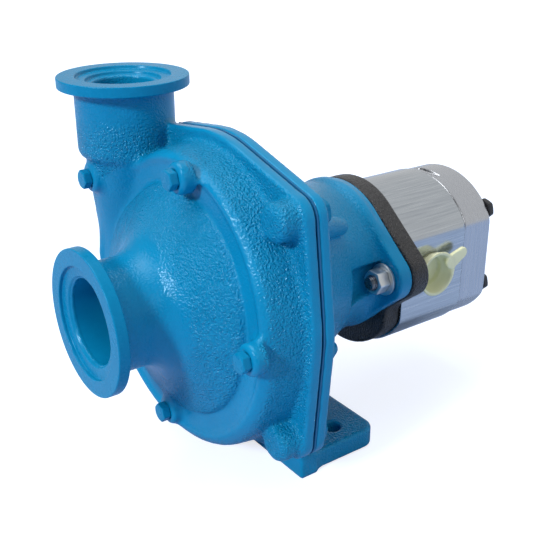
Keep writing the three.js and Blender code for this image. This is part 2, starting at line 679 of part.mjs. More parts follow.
// A moulded push-in port cap: a cup with a rim and a pull tab, drawn for the right-hand port.
function portPlug() {
  const r = motor.port - fitGap;
  const x = motor.halfWidth;
  const cup = turned([[0, x - 12], [r - 1.2, x - 12], [r, x + 1], [r + 3.4, x + fitGap + 1], [r + 3.4, x + 8],
    [r + 1.6, x + 8], [r + 1.2, x + 2], [r - 2, x + 1], [r - 3, x - 10], [0, x - 10],
  ].map(([a, b]) => [a, -b]))
    .rotate([0, 0, 90]);
  const tab = box(x + 3.5, x + 7, r + 0.5, r + 17, -4.2, 4.2).rotate([23, 0, 0]);
  return union(cup, tab).translate([0, motor.portY, motor.portZ]);
}

// ---------------------------------------------------------------- assembly

piece("volute_casing", voluteCasing(), materials.bluePaint);
piece("mounting_bracket", mountingBracket(), materials.bluePaint);
piece("casing_gasket", casingGasket(), materials.fibre);
piece("wear_ring", ring(impeller.ringRadius + runGap, wearRing.outer, impeller.ringFront + fitGap,
  impeller.ringFront + wearRing.length), materials.bronze);

lugCircles.forEach(({ x, z }, i) => {
  const { head, headHeight, shank, depth } = casingBolt;
  const seat = rim.rear + fitGap;
  const body = bolt(head, headHeight, shank, seat - rim.joint + depth).translate([x, seat, z]);
  piece("casing_bolt_" + (i + 1), body, materials.bluePaint);
});

facePlugs.forEach(({ x, z, seat }, i) => {
  const { head, headHeight, shank, shankLength } = facePlug;
  const body = union(hexagon(head, -headHeight - fitGap, -fitGap), rod(shank, -1, shankLength - 1));
  piece(i < 3 ? "drain_plug_" + (i + 1) : "vent_plug", body.translate([x, seat, z]), materials.bluePaint);
});

piece("pump_shaft", pumpShaft(), materials.steel);
piece("impeller", impellerWheel(), materials.castIron);
piece("impeller_key", impellerKey(), materials.steel);
piece("impeller_washer", impellerWasher(), materials.steel);
piece("impeller_nut", impellerNut(), materials.steel);

piece("seal_cup", sealCup(), materials.rubber);
piece("seal_seat", sealSeat(), materials.ceramic);
piece("seal_face", sealFace(), materials.carbon);
piece("seal_retainer", sealRetainer(), materials.steel);
piece("seal_bellows", sealBellows(), materials.rubber);
piece("seal_spring", sealSpring(), materials.steel);

for (const [where, size] of [["front", frontBearing], ["rear", rearBearing]]) {
  const { inner, race, cage } = bearingParts(size);
  piece(where + "_bearing_inner", inner, materials.steel);
  piece(where + "_bearing_outer", race, materials.steel);
  piece(where + "_bearing_balls", cage, materials.steel);
}
piece("bearing_retaining_ring", retainingRing(), materials.darkSteel);

for (const [side, name] of [[-1, "left"], [1, "right"]]) {
  const b = mountBolt;
  const seat = saeFlange.face - fitGap - saeFlange.thickness;
  const washerRearFace = seat - fitGap;
  const nutRearFace = washerRearFace - b.washerThickness - fitGap;
  const washer = ring(b.shank + fitGap, b.washer, washerRearFace - b.washerThickness, washerRearFace);
  const nut = hexagon(b.nut, nutRearFace - b.nutHeight, nutRearFace)
    .subtract(rod(b.shank + fitGap, nutRearFace - 20, nutRearFace + 1));
  const screw = bolt(b.head, b.headHeight, b.shank, bodyY - nutRearFace + b.nutHeight + b.tail)
    .rotate([0, 30, 0]) // a flat of the head faces the motor's side
    .translate([0, bodyY, 0]);
  piece("mount_bolt_" + name, screw.translate([side * earX, 0, 0]), materials.zinc);
  piece("mount_washer_" + name, washer.translate([side * earX, 0, 0]), materials.zinc);
  piece("mount_nut_" + name, nut.translate([side * earX, 0, 0]), materials.zinc);
}

piece("motor_flange", motorFlange(), materials.blackIron);
piece("motor_body", motorBody(), materials.aluminium);
piece("motor_rear_cover", motorCover(), materials.aluminium);
piece("drive_gear_shaft", gearShaft(0, 0, 16), materials.steel);
piece("driven_gear_shaft", gearShaft(180 / gear.teeth, -motor.gearPitch, bodyY + 1), materials.steel);
piece("bearing_block_front", bearingBlock(bodyY + 0.5, gearY - fitGap), materials.bronze);
piece("bearing_block_rear", bearingBlock(gearY + gear.width + fitGap, coverY - 0.8), materials.bronze);
const shaftSeal = ring(motorShaft + fitGap, 15 - fitGap, flangeY - 3, flangeY + 2.5);
piece("motor_shaft_seal", shaftSeal, materials.rubber);
motorBolts.forEach(([x, z], i) => {
  const length = rearY - bodyY + 8;
  const upright = bolt(motor.boltHead, motor.boltHeadHeight, motor.boltShank, length);
  const body = upright.translate([x, rearY + fitGap, z]);
  piece("motor_bolt_" + (i + 1), body, materials.darkSteel);
});
piece("port_plug_right", portPlug(), materials.creamPlastic);
piece("port_plug_left", portPlug().mirror([1, 0, 0]), materials.creamPlastic);

export default new THREE.Group().add(machine);
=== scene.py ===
"""Looks of a close-coupled centrifugal pump with its hydraulic motor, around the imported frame.

Lengths inside the classes are millimetres in the row's frame, and a mesh is scaled to metres when
it is made. Castings are solid fields (negative inside, millimetres of distance outside) turned into
quad nets; turned pieces are profiles carried round an axis; hexagons are polar grids.
"""

import json
import logging
import math
from dataclasses import dataclass
from enum import Enum
from typing import Callable, Sequence

import bmesh
import bpy
import numpy as np
from mathutils import Matrix, Vector


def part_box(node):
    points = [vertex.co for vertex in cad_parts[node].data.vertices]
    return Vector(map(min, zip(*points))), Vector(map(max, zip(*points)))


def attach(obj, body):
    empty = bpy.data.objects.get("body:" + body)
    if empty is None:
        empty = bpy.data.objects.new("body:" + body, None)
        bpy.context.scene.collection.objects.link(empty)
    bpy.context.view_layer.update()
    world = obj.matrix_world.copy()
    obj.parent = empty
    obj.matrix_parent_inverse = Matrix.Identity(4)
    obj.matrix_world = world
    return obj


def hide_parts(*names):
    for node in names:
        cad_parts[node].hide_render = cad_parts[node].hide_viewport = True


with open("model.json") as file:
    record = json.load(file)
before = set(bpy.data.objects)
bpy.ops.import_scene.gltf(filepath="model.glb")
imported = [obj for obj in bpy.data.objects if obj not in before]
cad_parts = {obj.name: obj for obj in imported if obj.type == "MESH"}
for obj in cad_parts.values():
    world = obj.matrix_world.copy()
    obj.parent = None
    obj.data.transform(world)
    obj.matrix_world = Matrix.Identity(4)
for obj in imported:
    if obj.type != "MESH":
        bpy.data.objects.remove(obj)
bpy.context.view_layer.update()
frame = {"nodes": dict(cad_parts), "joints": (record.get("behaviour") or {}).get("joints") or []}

log = logging.getLogger("pump")
MM = 0.001
Array = np.ndarray
Field = Callable[[Array, Array, Array], Array]


class Axis(Enum):
    """The direction a turned piece is carried round, as the order of (across, along, across)."""

    X = (1, 0, 2)
    Y = (0, 1, 2)
    Z = (0, 2, 1)


# ---------------------------------------------------------------- reading the frame


def node_box(node: str) -> Array:
    """Gives a CAD node's box in millimetres.

    Args:
        node: the node's name.
    Returns:
        A (2, 3) array: the lowest and the highest corner.
    """
    low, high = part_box(node)
    return np.array([low[:], high[:]]) / MM


def joint_place(name: str) -> Array:
    """Gives a hinge's place in millimetres, from the record's joint of that name."""
    joint = next(j for j in frame["joints"] if j["name"] == name)
    return np.array(joint["pos_m"]) / MM


@dataclass(frozen=True)
class Stations:
    """The planes and centres that the whole machine shares, read from the frame."""

    shaft_z: float = float(joint_place("rotor_spin")[2])
    driven_z: float = float(joint_place("driven_gear_spin")[2])
    suction_face: float = float(node_box("volute_casing")[0, 1])
    discharge_top: float = float(node_box("volute_casing")[1, 2])
    discharge_x: float = float(node_box("volute_casing")[0, 0]) + 41.0  # the flange's radius
    joint: float = float(node_box("casing_gasket")[0, 1])
    gasket_rear: float = float(node_box("casing_gasket")[1, 1])
    flange_rear: float = float(node_box("mounting_bracket")[1, 1])
    motor_face: float = float(node_box("mounting_bracket")[1, 1]) + 0.3
    body_front: float = float(node_box("motor_body")[0, 1])
    body_rear: float = float(node_box("motor_body")[1, 1])
    cover_front: float = float(node_box("motor_rear_cover")[0, 1])
    cover_rear: float = float(node_box("motor_rear_cover")[1, 1])
    foot_low: float = float(node_box("mounting_bracket")[0, 2])


AT = Stations()

# ---------------------------------------------------------------- fields


def blend_union(a: Array, b: Array, k: float) -> Array:
    """Joins two fields with a fillet: the smaller, less a quarter of k times the squared closeness."""
    close = np.maximum(k - np.abs(a - b), 0.0) / k
    return np.minimum(a, b) - close * close * k * 0.25


def blend_cut(a: Array, tool: Array, k: float) -> Array:
    """Takes the tool away from a, rounding the edge over k."""
    return -blend_union(-a, tool, k)


def corner(across: Array, along: Array, edge: float) -> Array:
    """Meets two perpendicular faces in a round edge: the length of the positive parts, less the edge."""
    a, b = across + edge, along + edge
    return np.hypot(np.maximum(a, 0.0), np.maximum(b, 0.0)) + np.minimum(np.maximum(a, b), 0.0) - edge


def slab(distance: Array, y: Array, front: float, rear: float, edge: float) -> Array:
    """Gives an outline's distance a thickness from front to rear, with round edges."""
    return corner(distance, np.abs(y - (front + rear) / 2) - (rear - front) / 2, edge)


def two_circle_hull(x: Array, z: Array, big: float, cx: float, cz: float, small: float) -> Array:
    """Distance to the convex hull of a circle at the centre and one at (cx, cz).

    In the frame turned towards the second circle, the straight side covers the points whose
    projection on it falls between the two tangent points; elsewhere the nearer circle counts.
    """
    far = math.hypot(cx, cz)
    along = (x * cx + z * cz) / far
    side = np.abs(x * cz - z * cx) / far
    b = (big - small) / far
    a = math.sqrt(1 - b * b)
    k = -b * side + a * along
    flank = a * side + b * along - big
    tail = np.hypot(side, along - far) - small
    return np.where(k < 0, np.hypot(x, z) - big, np.where(k > a * far, tail, flank))


def polar(radius: float, degrees: float) -> tuple[float, float]:
    """Gives (x, z) at a radius and an angle from +X."""
    return radius * math.cos(math.radians(degrees)), radius * math.sin(math.radians(degrees))


EDGE_PAIRS = [
    (a, b)
    for a in np.ndindex(2, 2, 2)
    for b in np.ndindex(2, 2, 2)
    if sum(b) - sum(a) == 1 and all(q >= p for p, q in zip(a, b))
]


def surface_net(
    shape: Field, low: Sequence[float], high: Sequence[float], step: float
) -> tuple[Array, Array]:
    """Turns a field into a quad net that lies on its zero surface.

    Each cell that the surface crosses gets one point, the mean of its edge crossings. Four cells
    round a crossed grid edge share a quad. The points are then moved along the field's slope by
    value over slope, five times, which puts them on the surface itself.

    Args:
        shape: the field.
        low: lowest corner of the box to search, in millimetres.
        high: highest corner.
        step: cell size.
    Returns:
        The points (n, 3) and the quads (m, 4).
    """
    low = np.array(low, float)
    count = np.ceil((np.array(high, float) - low) / step).astype(int) + 1
    axes = [low[i] + step * np.arange(count[i]) for i in range(3)]
    grid = [a.reshape([-1 if i == j else 1 for j in range(3)]) for i, a in enumerate(axes)]
    value = np.broadcast_to(shape(*grid), tuple(count)).astype(np.float32)
    inside = value < 0
    corners = sum(
        inside[a : count[0] - 1 + a, b : count[1] - 1 + b, c : count[2] - 1 + c].astype(np.int8)
        for a, b, c in np.ndindex(2, 2, 2)
    )
    active = (corners > 0) & (corners < 8)
    cells = np.argwhere(active)
    number = np.full(active.shape, -1, np.int64)
    number[active] = np.arange(len(cells))
    total = np.zeros((len(cells), 3))
    hits = np.zeros((len(cells), 1))
    for a, b in EDGE_PAIRS:
        fa = value[tuple((cells + a).T)]
        fb = value[tuple((cells + b).T)]
        crossed = (fa < 0) != (fb < 0)
        share = np.where(crossed, fa / np.where(crossed, fa - fb, 1.0), 0.0)[:, None]
        total += crossed[:, None] * (np.array(a) + share * (np.array(b) - np.array(a)))
        hits += crossed[:, None]
    points = low + step * (cells + total / hits)
    quads = []
    for axis in range(3):
        first, second = (axis + 1) % 3, (axis + 2) % 3
        lower = [slice(1, -1)] * 3
        upper = [slice(1, -1)] * 3
        lower[axis], upper[axis] = slice(0, -1), slice(1, None)
        ins = inside[tuple(lower)]
        spots = np.argwhere(ins != inside[tuple(upper)])
        out = ins[tuple(spots.T)]
        base = spots + 1
        base[:, axis] -= 1
        ring = []
        for u, v in ((1, 1), (0, 1), (0, 0), (1, 0)):
            cell = base.copy()
            cell[:, first] -= u
            cell[:, second] -= v
            ring.append(number[tuple(cell.T)])
        face = np.stack(ring, 1)
        face[~out] = face[~out][:, ::-1]
        quads.append(face)
    faces = np.concatenate(quads)
    reach = 0.02
    for _ in range(5):
        here = shape(*points.T)
        slope = np.stack(
            [(shape(*(points + d).T) - shape(*(points - d).T)) / (2 * reach) for d in np.eye(3) * reach], 1
        )
        size = np.maximum((slope**2).sum(1), 0.2)
        move = -(here / size)[:, None] * slope
        points = points + np.clip(move, -0.5 * step, 0.5 * step)
    return points, faces


# ---------------------------------------------------------------- meshes


def mesh_piece(name: str, points: Array, faces: Array, weld: bool = False) -> bpy.types.Object:
    """Makes an object of the given millimetre points and faces, smooth shaded, at the origin.

    Args:
        name: the piece's name.
        points: (n, 3) places in millimetres.
        faces: (m, 4) corner numbers.
        weld: merges points that coincide, as at a pole, and turns every face outwards.
    Returns:
        The new object, linked to the scene.
    """
    mesh = bpy.data.meshes.new(name)
    mesh.from_pydata((points * MM).tolist(), [], faces.tolist())
    if weld:
        bm = bmesh.new()
        bm.from_mesh(mesh)
        bmesh.ops.remove_doubles(bm, verts=bm.verts, dist=2e-6)
        bmesh.ops.dissolve_degenerate(bm, edges=bm.edges, dist=1e-7)
        bmesh.ops.recalc_face_normals(bm, faces=bm.faces)
        bm.to_mesh(mesh)
        bm.free()
    mesh.polygons.foreach_set("use_smooth", np.ones(len(mesh.polygons), bool))
    piece = bpy.data.objects.new(name, mesh)
    bpy.context.scene.collection.objects.link(piece)
    return piece


def grid_faces(rows: int, columns: int, closed_rows: bool, closed_columns: bool) -> Array:
    """Numbers the quads of a grid of points, wrapping round where it is closed."""
    r = np.arange(rows if closed_rows else rows - 1)[:, None]
    c = np.arange(columns if closed_columns else columns - 1)[None, :]
    r2, c2 = (r + 1) % rows, (c + 1) % columns
    corners = [r * columns + c, r * columns + c2, r2 * columns + c2, r2 * columns + c]
    return np.stack(corners, -1).reshape(-1, 4)


def softened(points: Sequence[Sequence[float]], radius: float, closed: bool = True, steps: int = 4) -> Array:
    """Rounds an outline's corners with short parabolas whose ends lie a radius away along each side."""
    p = np.array(points, float)
    before, after = np.roll(p, 1, 0) - p, np.roll(p, -1, 0) - p
    reach = []
    for side in (before, after):
        length = np.maximum(np.hypot(side[:, 0], side[:, 1]), 1e-9)[:, None]
        reach.append(side / length * np.minimum(radius, 0.45 * length))
    t = np.linspace(0, 1, steps + 1)[None, :, None]
    curve = p[:, None] + reach[0][:, None] * (1 - t) ** 2 + reach[1][:, None] * t**2
    if not closed:
        curve[0], curve[-1] = p[0], p[-1]
    return curve.reshape(-1, 2)


def crisp(piece: bpy.types.Object, degrees: float = 40.0) -> bpy.types.Object:
    """Lets flat faces keep flat shading beside their rounded edges, by weighting normals with area."""
    piece.data.set_sharp_from_angle(angle=math.radians(degrees))
    weighted = piece.modifiers.new("flat faces stay flat", "WEIGHTED_NORMAL")
    weighted.keep_sharp = True
    return piece


def turned(
    name: str,
    profile: Sequence[Sequence[float]],
    centre: Sequence[float],
    axis: Axis,
    edge: float = 0.5,
    closed: bool = True,
    segments: int = 128,
) -> bpy.types.Object:
    """Carries a (radius, along) profile round an axis.

    A point at angle a is the centre plus radius times (cos a, sin a) across the axis, and its
    along value on the axis itself.

    Args:
        name: the piece's name.
        profile: the corners, as a closed ring, or from axis to axis where closed is False.
        centre: a point on the axis; its value along the axis isn't used.
        axis: the direction of the axis.
        edge: the size of the rounding at each corner.
        closed: whether the last corner joins the first.
        segments: steps round the axis.
    Returns:
        The new piece.
    """
    outline = softened(profile, edge, closed)
    turn = np.linspace(0, 2 * math.pi, segments, endpoint=False)[:, None]
    first, along, second = axis.value
    place = np.zeros((segments, len(outline), 3))
    place[..., first] = centre[first] + outline[:, 0] * np.cos(turn)
    place[..., second] = centre[second] + outline[:, 0] * np.sin(turn)
    place[..., along] = outline[:, 1]
    faces = grid_faces(segments, len(outline), True, closed)
    return crisp(mesh_piece(name, place.reshape(-1, 3), faces, weld=True))


def hex_radius(turn: Array, flats: float, sharpness: float = 26.0) -> Array:
    """Radius of a hexagon with soft corners: half the flats over a high power mean of three cosines."""
    waves = [np.abs(np.cos(turn - k * math.pi / 3)) ** sharpness for k in range(3)]
    return flats / 2 * sum(waves) ** (-1 / sharpness)


@dataclass
class HexPiece:
    """A hexagon head or nut about Y: chamfered crown, flats, and a shank or a bore."""

    flats: float
    height: float
    shank: float
    length: float
    turn: float = 0.0
    bored: bool = False
    segments: int = 96

    def build(self, name: str, centre: Sequence[float], seat: float, forward: float) -> bpy.types.Object:
        """Builds it standing on its seat.

        The crown's chamfer falls by half the distance that the hexagon stands outside the crown's
        circle, so each flat ends in an arc.

        Args:
            name: the piece's name.
            centre: (x, z) of its axis.
            seat: the y of the face that it seats on.
            forward: 1 where the crown points along +Y from the seat, -1 along -Y.
        Returns:
            The new piece.
        """
        turn = np.linspace(0, 2 * math.pi, self.segments, endpoint=False)
        hexagon = hex_radius(turn - self.turn, self.flats)
        crown = self.flats / 2 * 0.93
        ones = np.ones_like(turn)
        fall = (hexagon - crown) * 0.5
        top = [(crown * 0.94 * ones, self.height * ones), (crown * ones, (self.height - 0.12) * ones)]
        side = [
            (hexagon * 0.985, self.height - fall * 0.8 - 0.12),
            (hexagon, self.height - fall - 0.45),
            (hexagon, 0.45 * ones),
            (hexagon * 0.97, 0.0 * ones),
        ]
        bore = self.shank * ones
        if self.bored:
            loop = [(bore + 0.7, self.height * ones), *top, *side, (bore + 0.7, 0 * ones), (bore, 0.7 * ones)]
            loop.append((bore, (self.height - 0.7) * ones))
        else:
            end = -self.length
            loop = [(0 * ones, self.height * ones), *top, *side, (bore, 0 * ones), (bore, (end + 0.8) * ones)]
            loop += [(bore - 0.8, end * ones), (0 * ones, end * ones)]
        radius = np.stack([r for r, _ in loop], 1)
        along = np.stack([h for _, h in loop], 1)
        place = np.stack(
            [
                centre[0] + radius * np.cos(turn)[:, None],
                seat + forward * along,
                centre[1] + radius * np.sin(turn)[:, None],
            ],
            -1,
        )
        faces = grid_faces(self.segments, len(loop), True, self.bored)
        return crisp(mesh_piece(name, place.reshape(-1, 3), faces, weld=True))


def threaded_rod(
    name: str, centre: Sequence[float], y0: float, y1: float, radius: float, pitch: float
) -> bpy.types.Object:
    """Builds a threaded end: the radius falls by a rounded triangle wave of the height less the turn.

    Args:
        name: the piece's name.
        centre: (x, z) of its axis.
        y0: the free end, which is chamfered.
        y1: the hidden end.
        radius: the thread's outer radius.
        pitch: the thread's pitch.
    Returns:
        The new piece.
    """
    turn = np.linspace(0, 2 * math.pi, 64, endpoint=False)[:, None]
    along = np.linspace(0, y1 - y0, int((y1 - y0) / pitch * 10))[None, :]
    wave = np.abs(((along / pitch - turn / (2 * math.pi)) % 1.0) * 2 - 1)
    depth = pitch * 0.55
    body = radius - depth * np.clip(wave * 1.3 - 0.15, 0, 1)
    body = np.minimum(body, radius - depth + along * 0.9)
    cap = np.zeros_like(turn)
    r = np.concatenate([cap, body, cap], 1)
    y = np.concatenate([cap, along + 0 * turn, cap + (y1 - y0)], 1)
    place = np.stack([centre[0] + r * np.cos(turn), y0 + y, centre[1] + r * np.sin(turn)], -1)
    faces = grid_faces(64, r.shape[1], True, False)
    return mesh_piece(name, place.reshape(-1, 3), faces, weld=True)


# ---------------------------------------------------------------- finishes


@dataclass(frozen=True)
class Finish:
    """A surface: colour with a mottle, a grain that shapes gloss and relief, and an optional clear coat.

    The grain is noise on Object coordinates, stretched by `stretch`. It mixes the two colours, moves
    the roughness between its two values, and lifts the surface by `relief` metres. `pebble` adds the
    rounded relief of a sand casting, scaled where the mesh has the attribute `cast`.
    """

    name: str
    colour: tuple[float, float, float]
    mottle: tuple[float, float, float]
    metallic: float = 0.0
    rough: tuple[float, float] = (0.3, 0.45)
    grain: float = 300.0
    stretch: tuple[float, float, float] = (1.0, 1.0, 1.0)
    relief: float = 0.00005
    pebble: float = 0.0
    pebble_scale: float = 420.0
    coat: float = 0.0
    specular: float = 0.5
    specular_tint: tuple[float, float, float] = (1.0, 1.0, 1.0)

    def material(self) -> bpy.types.Material:
        """Builds the material once, and gives the same one after that.

        Returns:
            The node material.
        """
        made = bpy.data.materials.get(self.name)
        if made:
            return made
        made = bpy.data.materials.new(self.name)
        made.use_nodes = True
        tree = made.node_tree
        shader = tree.nodes["Principled BSDF"]
        shader.inputs["Metallic"].default_value = self.metallic
        shader.inputs["Coat Weight"].default_value = self.coat
        shader.inputs["Specular IOR Level"].default_value = self.specular
        shader.inputs["Specular Tint"].default_value = (*self.specular_tint, 1.0)
        shader.inputs["Coat Roughness"].default_value = 0.08
        place = tree.nodes.new("ShaderNodeTexCoord").outputs["Object"]
        mapping = tree.nodes.new("ShaderNodeMapping")
        mapping.inputs["Scale"].default_value = self.stretch
        tree.links.new(place, mapping.inputs["Vector"])
        grain = tree.nodes.new("ShaderNodeTexNoise")
        grain.inputs["Scale"].default_value = self.grain
        grain.inputs["Detail"].default_value = 4.0
        tree.links.new(mapping.outputs["Vector"], grain.inputs["Vector"])
        colour = tree.nodes.new("ShaderNodeMix")
        colour.data_type = "RGBA"
        colour.inputs[6].default_value = (*self.colour, 1.0)
        colour.inputs[7].default_value = (*self.mottle, 1.0)
        tree.links.new(grain.outputs["Fac"], colour.inputs[0])
        tree.links.new(colour.outputs[2], shader.inputs["Base Color"])
        gloss = tree.nodes.new("ShaderNodeMapRange")
        gloss.inputs["From Min"].default_value = 0.3
        gloss.inputs["From Max"].default_value = 0.7
        gloss.inputs["To Min"].default_value = self.rough[0]
        gloss.inputs["To Max"].default_value = self.rough[1]
        tree.links.new(grain.outputs["Fac"], gloss.inputs["Value"])
        tree.links.new(gloss.outputs["Result"], shader.inputs["Roughness"])
        fine = tree.nodes.new("ShaderNodeBump")
        fine.inputs["Distance"].default_value = self.relief
        tree.links.new(grain.outputs["Fac"], fine.inputs["Height"])
        last = fine
        if self.pebble:
            last = self.add_pebbles(tree, place, fine)
        tree.links.new(last.outputs["Normal"], shader.inputs["Normal"])
        return made

    def add_pebbles(
        self, tree: bpy.types.NodeTree, place: bpy.types.NodeSocket, under: bpy.types.Node
    ) -> bpy.types.Node:
        """Adds rounded pebbles over the grain, as strong as the mesh's `cast` attribute says.

        Args:
            tree: the material's nodes.
            place: the Object coordinates.
            under: the bump node that the pebbles lie over.
        Returns:
            The last bump node.
        """
        pebbles = tree.nodes.new("ShaderNodeTexNoise")
        pebbles.inputs["Scale"].default_value = self.pebble_scale
        pebbles.inputs["Detail"].default_value = 1.0
        pebbles.inputs["Roughness"].default_value = 0.5
        tree.links.new(place, pebbles.inputs["Vector"])
        crowned = tree.nodes.new("ShaderNodeMapRange")
        crowned.inputs["From Min"].default_value = 0.2
        crowned.inputs["From Max"].default_value = 0.8
        tree.links.new(pebbles.outputs["Fac"], crowned.inputs["Value"])
        amount = tree.nodes.new("ShaderNodeAttribute")
        amount.attribute_name = "cast"
        bump = tree.nodes.new("ShaderNodeBump")
        bump.inputs["Distance"].default_value = self.pebble
        tree.links.new(amount.outputs["Fac"], bump.inputs["Strength"])
        tree.links.new(crowned.outputs["Result"], bump.inputs["Height"])
        tree.links.new(under.outputs["Normal"], bump.inputs["Normal"])
        return bump


SHEEN = (0.5, 0.8, 1.0)  # tint of the enamel's gloss
BLUE = Finish("blue_enamel", (0.001, 0.205, 0.42), (0.002, 0.25, 0.49), 0.0, (0.17, 0.27), 60.0,
              pebble=0.0011, pebble_scale=760.0, specular=0.4, specular_tint=SHEEN)
FLANGE_BLUE = Finish("blue_enamel_on_machined", (0.001, 0.19, 0.39), (0.002, 0.23, 0.45), 0.0,
                     (0.22, 0.32), 180.0, relief=0.00002, specular=0.22, specular_tint=SHEEN)
BLACK_IRON = Finish("black_cast_iron", (0.007, 0.007, 0.008), (0.05, 0.05, 0.052), 0.1, (0.24, 0.5), 700.0,
                    relief=0.0002, pebble=0.0008, pebble_scale=850.0)
ALUMINIUM = Finish("brushed_aluminium", (0.3, 0.33, 0.37), (0.64, 0.68, 0.71), 1.0, (0.14, 0.3), 900.0,
                   (1.0, 0.03, 1.0), 0.00002)
CAST_ALUMINIUM = Finish("machined_cover_aluminium", (0.42, 0.44, 0.48), (0.58, 0.6, 0.63), 1.0,
                        (0.2, 0.34), 700.0, (1.0, 1.0, 0.05), 0.00002)
ZINC = Finish("zinc_plate", (0.62, 0.65, 0.66), (0.8, 0.82, 0.82), 1.0, (0.3, 0.42), 300.0, relief=0.00001)
STEEL = Finish("ground_steel", (0.5, 0.51, 0.53), (0.66, 0.66, 0.68), 1.0, (0.2, 0.34), 800.0,
               (1.0, 0.05, 1.0), 0.00003)
DARK_STEEL = Finish("black_oxide_steel", (0.03, 0.031, 0.034), (0.09, 0.09, 0.095), 0.8, (0.32, 0.5), 800.0,
                    relief=0.00004)
THREAD = Finish("worn_thread", (0.12, 0.12, 0.125), (0.3, 0.3, 0.31), 1.0, (0.22, 0.36), 500.0,
                relief=0.00002)
BRONZE = Finish("bronze", (0.46, 0.27, 0.1), (0.6, 0.38, 0.16), 1.0, (0.3, 0.45), 500.0)
GREY_IRON = Finish("grey_iron", (0.1, 0.1, 0.105), (0.18, 0.18, 0.185), 0.6, (0.45, 0.65), 700.0,
                   relief=0.00025)
RUBBER = Finish("black_rubber", (0.012, 0.012, 0.012), (0.022, 0.022, 0.022), 0.0, (0.6, 0.75), 900.0)
CERAMIC = Finish("white_ceramic", (0.78, 0.76, 0.7), (0.85, 0.83, 0.78), 0.0, (0.18, 0.26), 400.0)
CARBON = Finish("seal_carbon", (0.03, 0.03, 0.032), (0.06, 0.06, 0.062), 0.0, (0.35, 0.5), 900.0)
GASKET = Finish("painted_gasket_edge", (0.001, 0.11, 0.27), (0.002, 0.14, 0.33), 0.0, (0.5, 0.7), 500.0)
CREAM = Finish("cream_plastic", (0.8, 0.72, 0.54), (0.86, 0.79, 0.62), 0.0, (0.32, 0.42), 350.0,
               relief=0.00004, coat=0.15)

SLOT_FINISH = {
    "blue_paint": FLANGE_BLUE,
    "fibre": GASKET,
    "black_iron": BLACK_IRON,
    "aluminium": ALUMINIUM,
    "machined_aluminium": CAST_ALUMINIUM,
    "zinc": ZINC,
    "steel": STEEL,
    "dark_steel": DARK_STEEL,
    "bronze": BRONZE,
    "grey_iron": GREY_IRON,
    "rubber": RUBBER,
    "ceramic": CERAMIC,
    "carbon": CARBON,
    "cream_plastic": CREAM,
}


def fit(piece: bpy.types.Object, body: str, slot: str, finish: Finish, *nodes: str) -> bpy.types.Object:
    """Dresses a piece, puts it on its body and hides the CAD nodes that it stands for.

    Args:
        piece: the finished mesh.
        body: the CAD body that it moves with.
        slot: the record's material slot; not used.
        finish: its surface.
        nodes: the CAD nodes that it replaces.
    Returns:
        The same piece.
    """
    piece.data.materials.append(finish.material())
    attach(piece, body)
    if nodes:
        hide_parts(*nodes)
    log.info("%s: %d faces on %s", piece.name, len(piece.data.polygons), body)
    return piece


def net_piece(
    name: str, shape: Field, low: Sequence[float], high: Sequence[float], step: float,
    cast: Field | None = None,
) -> bpy.types.Object:
    """Makes a piece of a field given about the shaft line, and keeps how strongly it is pebbled.

    Args:
        name: the piece's name.
        shape: the field, with z counted from the shaft line.
        low: lowest corner of the search box.
        high: highest corner.
        step: cell size.
        cast: from 0, machined, to 1, rough sand casting, at a place.
    Returns:
        The new piece.
    """
    points, faces = surface_net(shape, low, high, step)
    strength = np.clip(cast(*points.T), 0, 1) if cast else None
    piece = mesh_piece(name, points + (0, 0, AT.shaft_z), faces)
    if strength is not None:
        layer = piece.data.attributes.new("cast", "FLOAT", "POINT")
        layer.data.foreach_set("value", strength.astype(np.float32))
    return piece


def fade(value: Array, start: float, end: float) -> Array:
    """Goes smoothly from 0 at start to 1 at end."""
    t = np.clip((value - start) / (end - start), 0, 1)
    return t * t * (3 - 2 * t)


def waviness(x: Array, y: Array, z: Array) -> Array:
    """The slow unevenness of a sand mould: products of sines about 7 and 13 mm apart, up to 1 high."""
    slow = np.sin(x * 0.47 + 1.3) * np.sin(y * 0.53 + z * 0.21) * np.sin(z * 0.49 + 0.7)
    quick = np.sin(x * 0.91 + z * 0.33) * np.sin(y * 0.97 + 2.1) * np.sin(z * 0.88 - x * 0.27)
    return 0.6 * slow + 0.4 * quick


# ---------------------------------------------------------------- sub-assemblies


@dataclass
class JointRim:
    """The rim where casing and bracket meet: a circle with four bolt lugs and a corner by the neck."""

    circle: float = 97.0
    lugs: tuple = ((41, 101, 13), (168, 107, 12), (221, 103, 13), (319, 103, 13))
    corner: tuple = (122, 98, 8)
    notch_x: float = -49.0
    notch_z: float = 62.0

    def outline(self, x: Array, z: Array) -> Array:
        """Distance to the rim's outline: the nearest of the hulls from the circle to each lug."""
        hulls = [
            two_circle_hull(x, z, self.circle, *polar(pitch, angle), radius)
            for angle, pitch, radius in (*self.lugs, self.corner)
        ]
        return np.minimum.reduce(hulls)

    def lug_centres(self) -> list[tuple[float, float]]:
        """Gives each bolt lug's (x, z)."""
        return [polar(pitch, angle) for angle, pitch, _ in self.lugs]


RIM = JointRim()


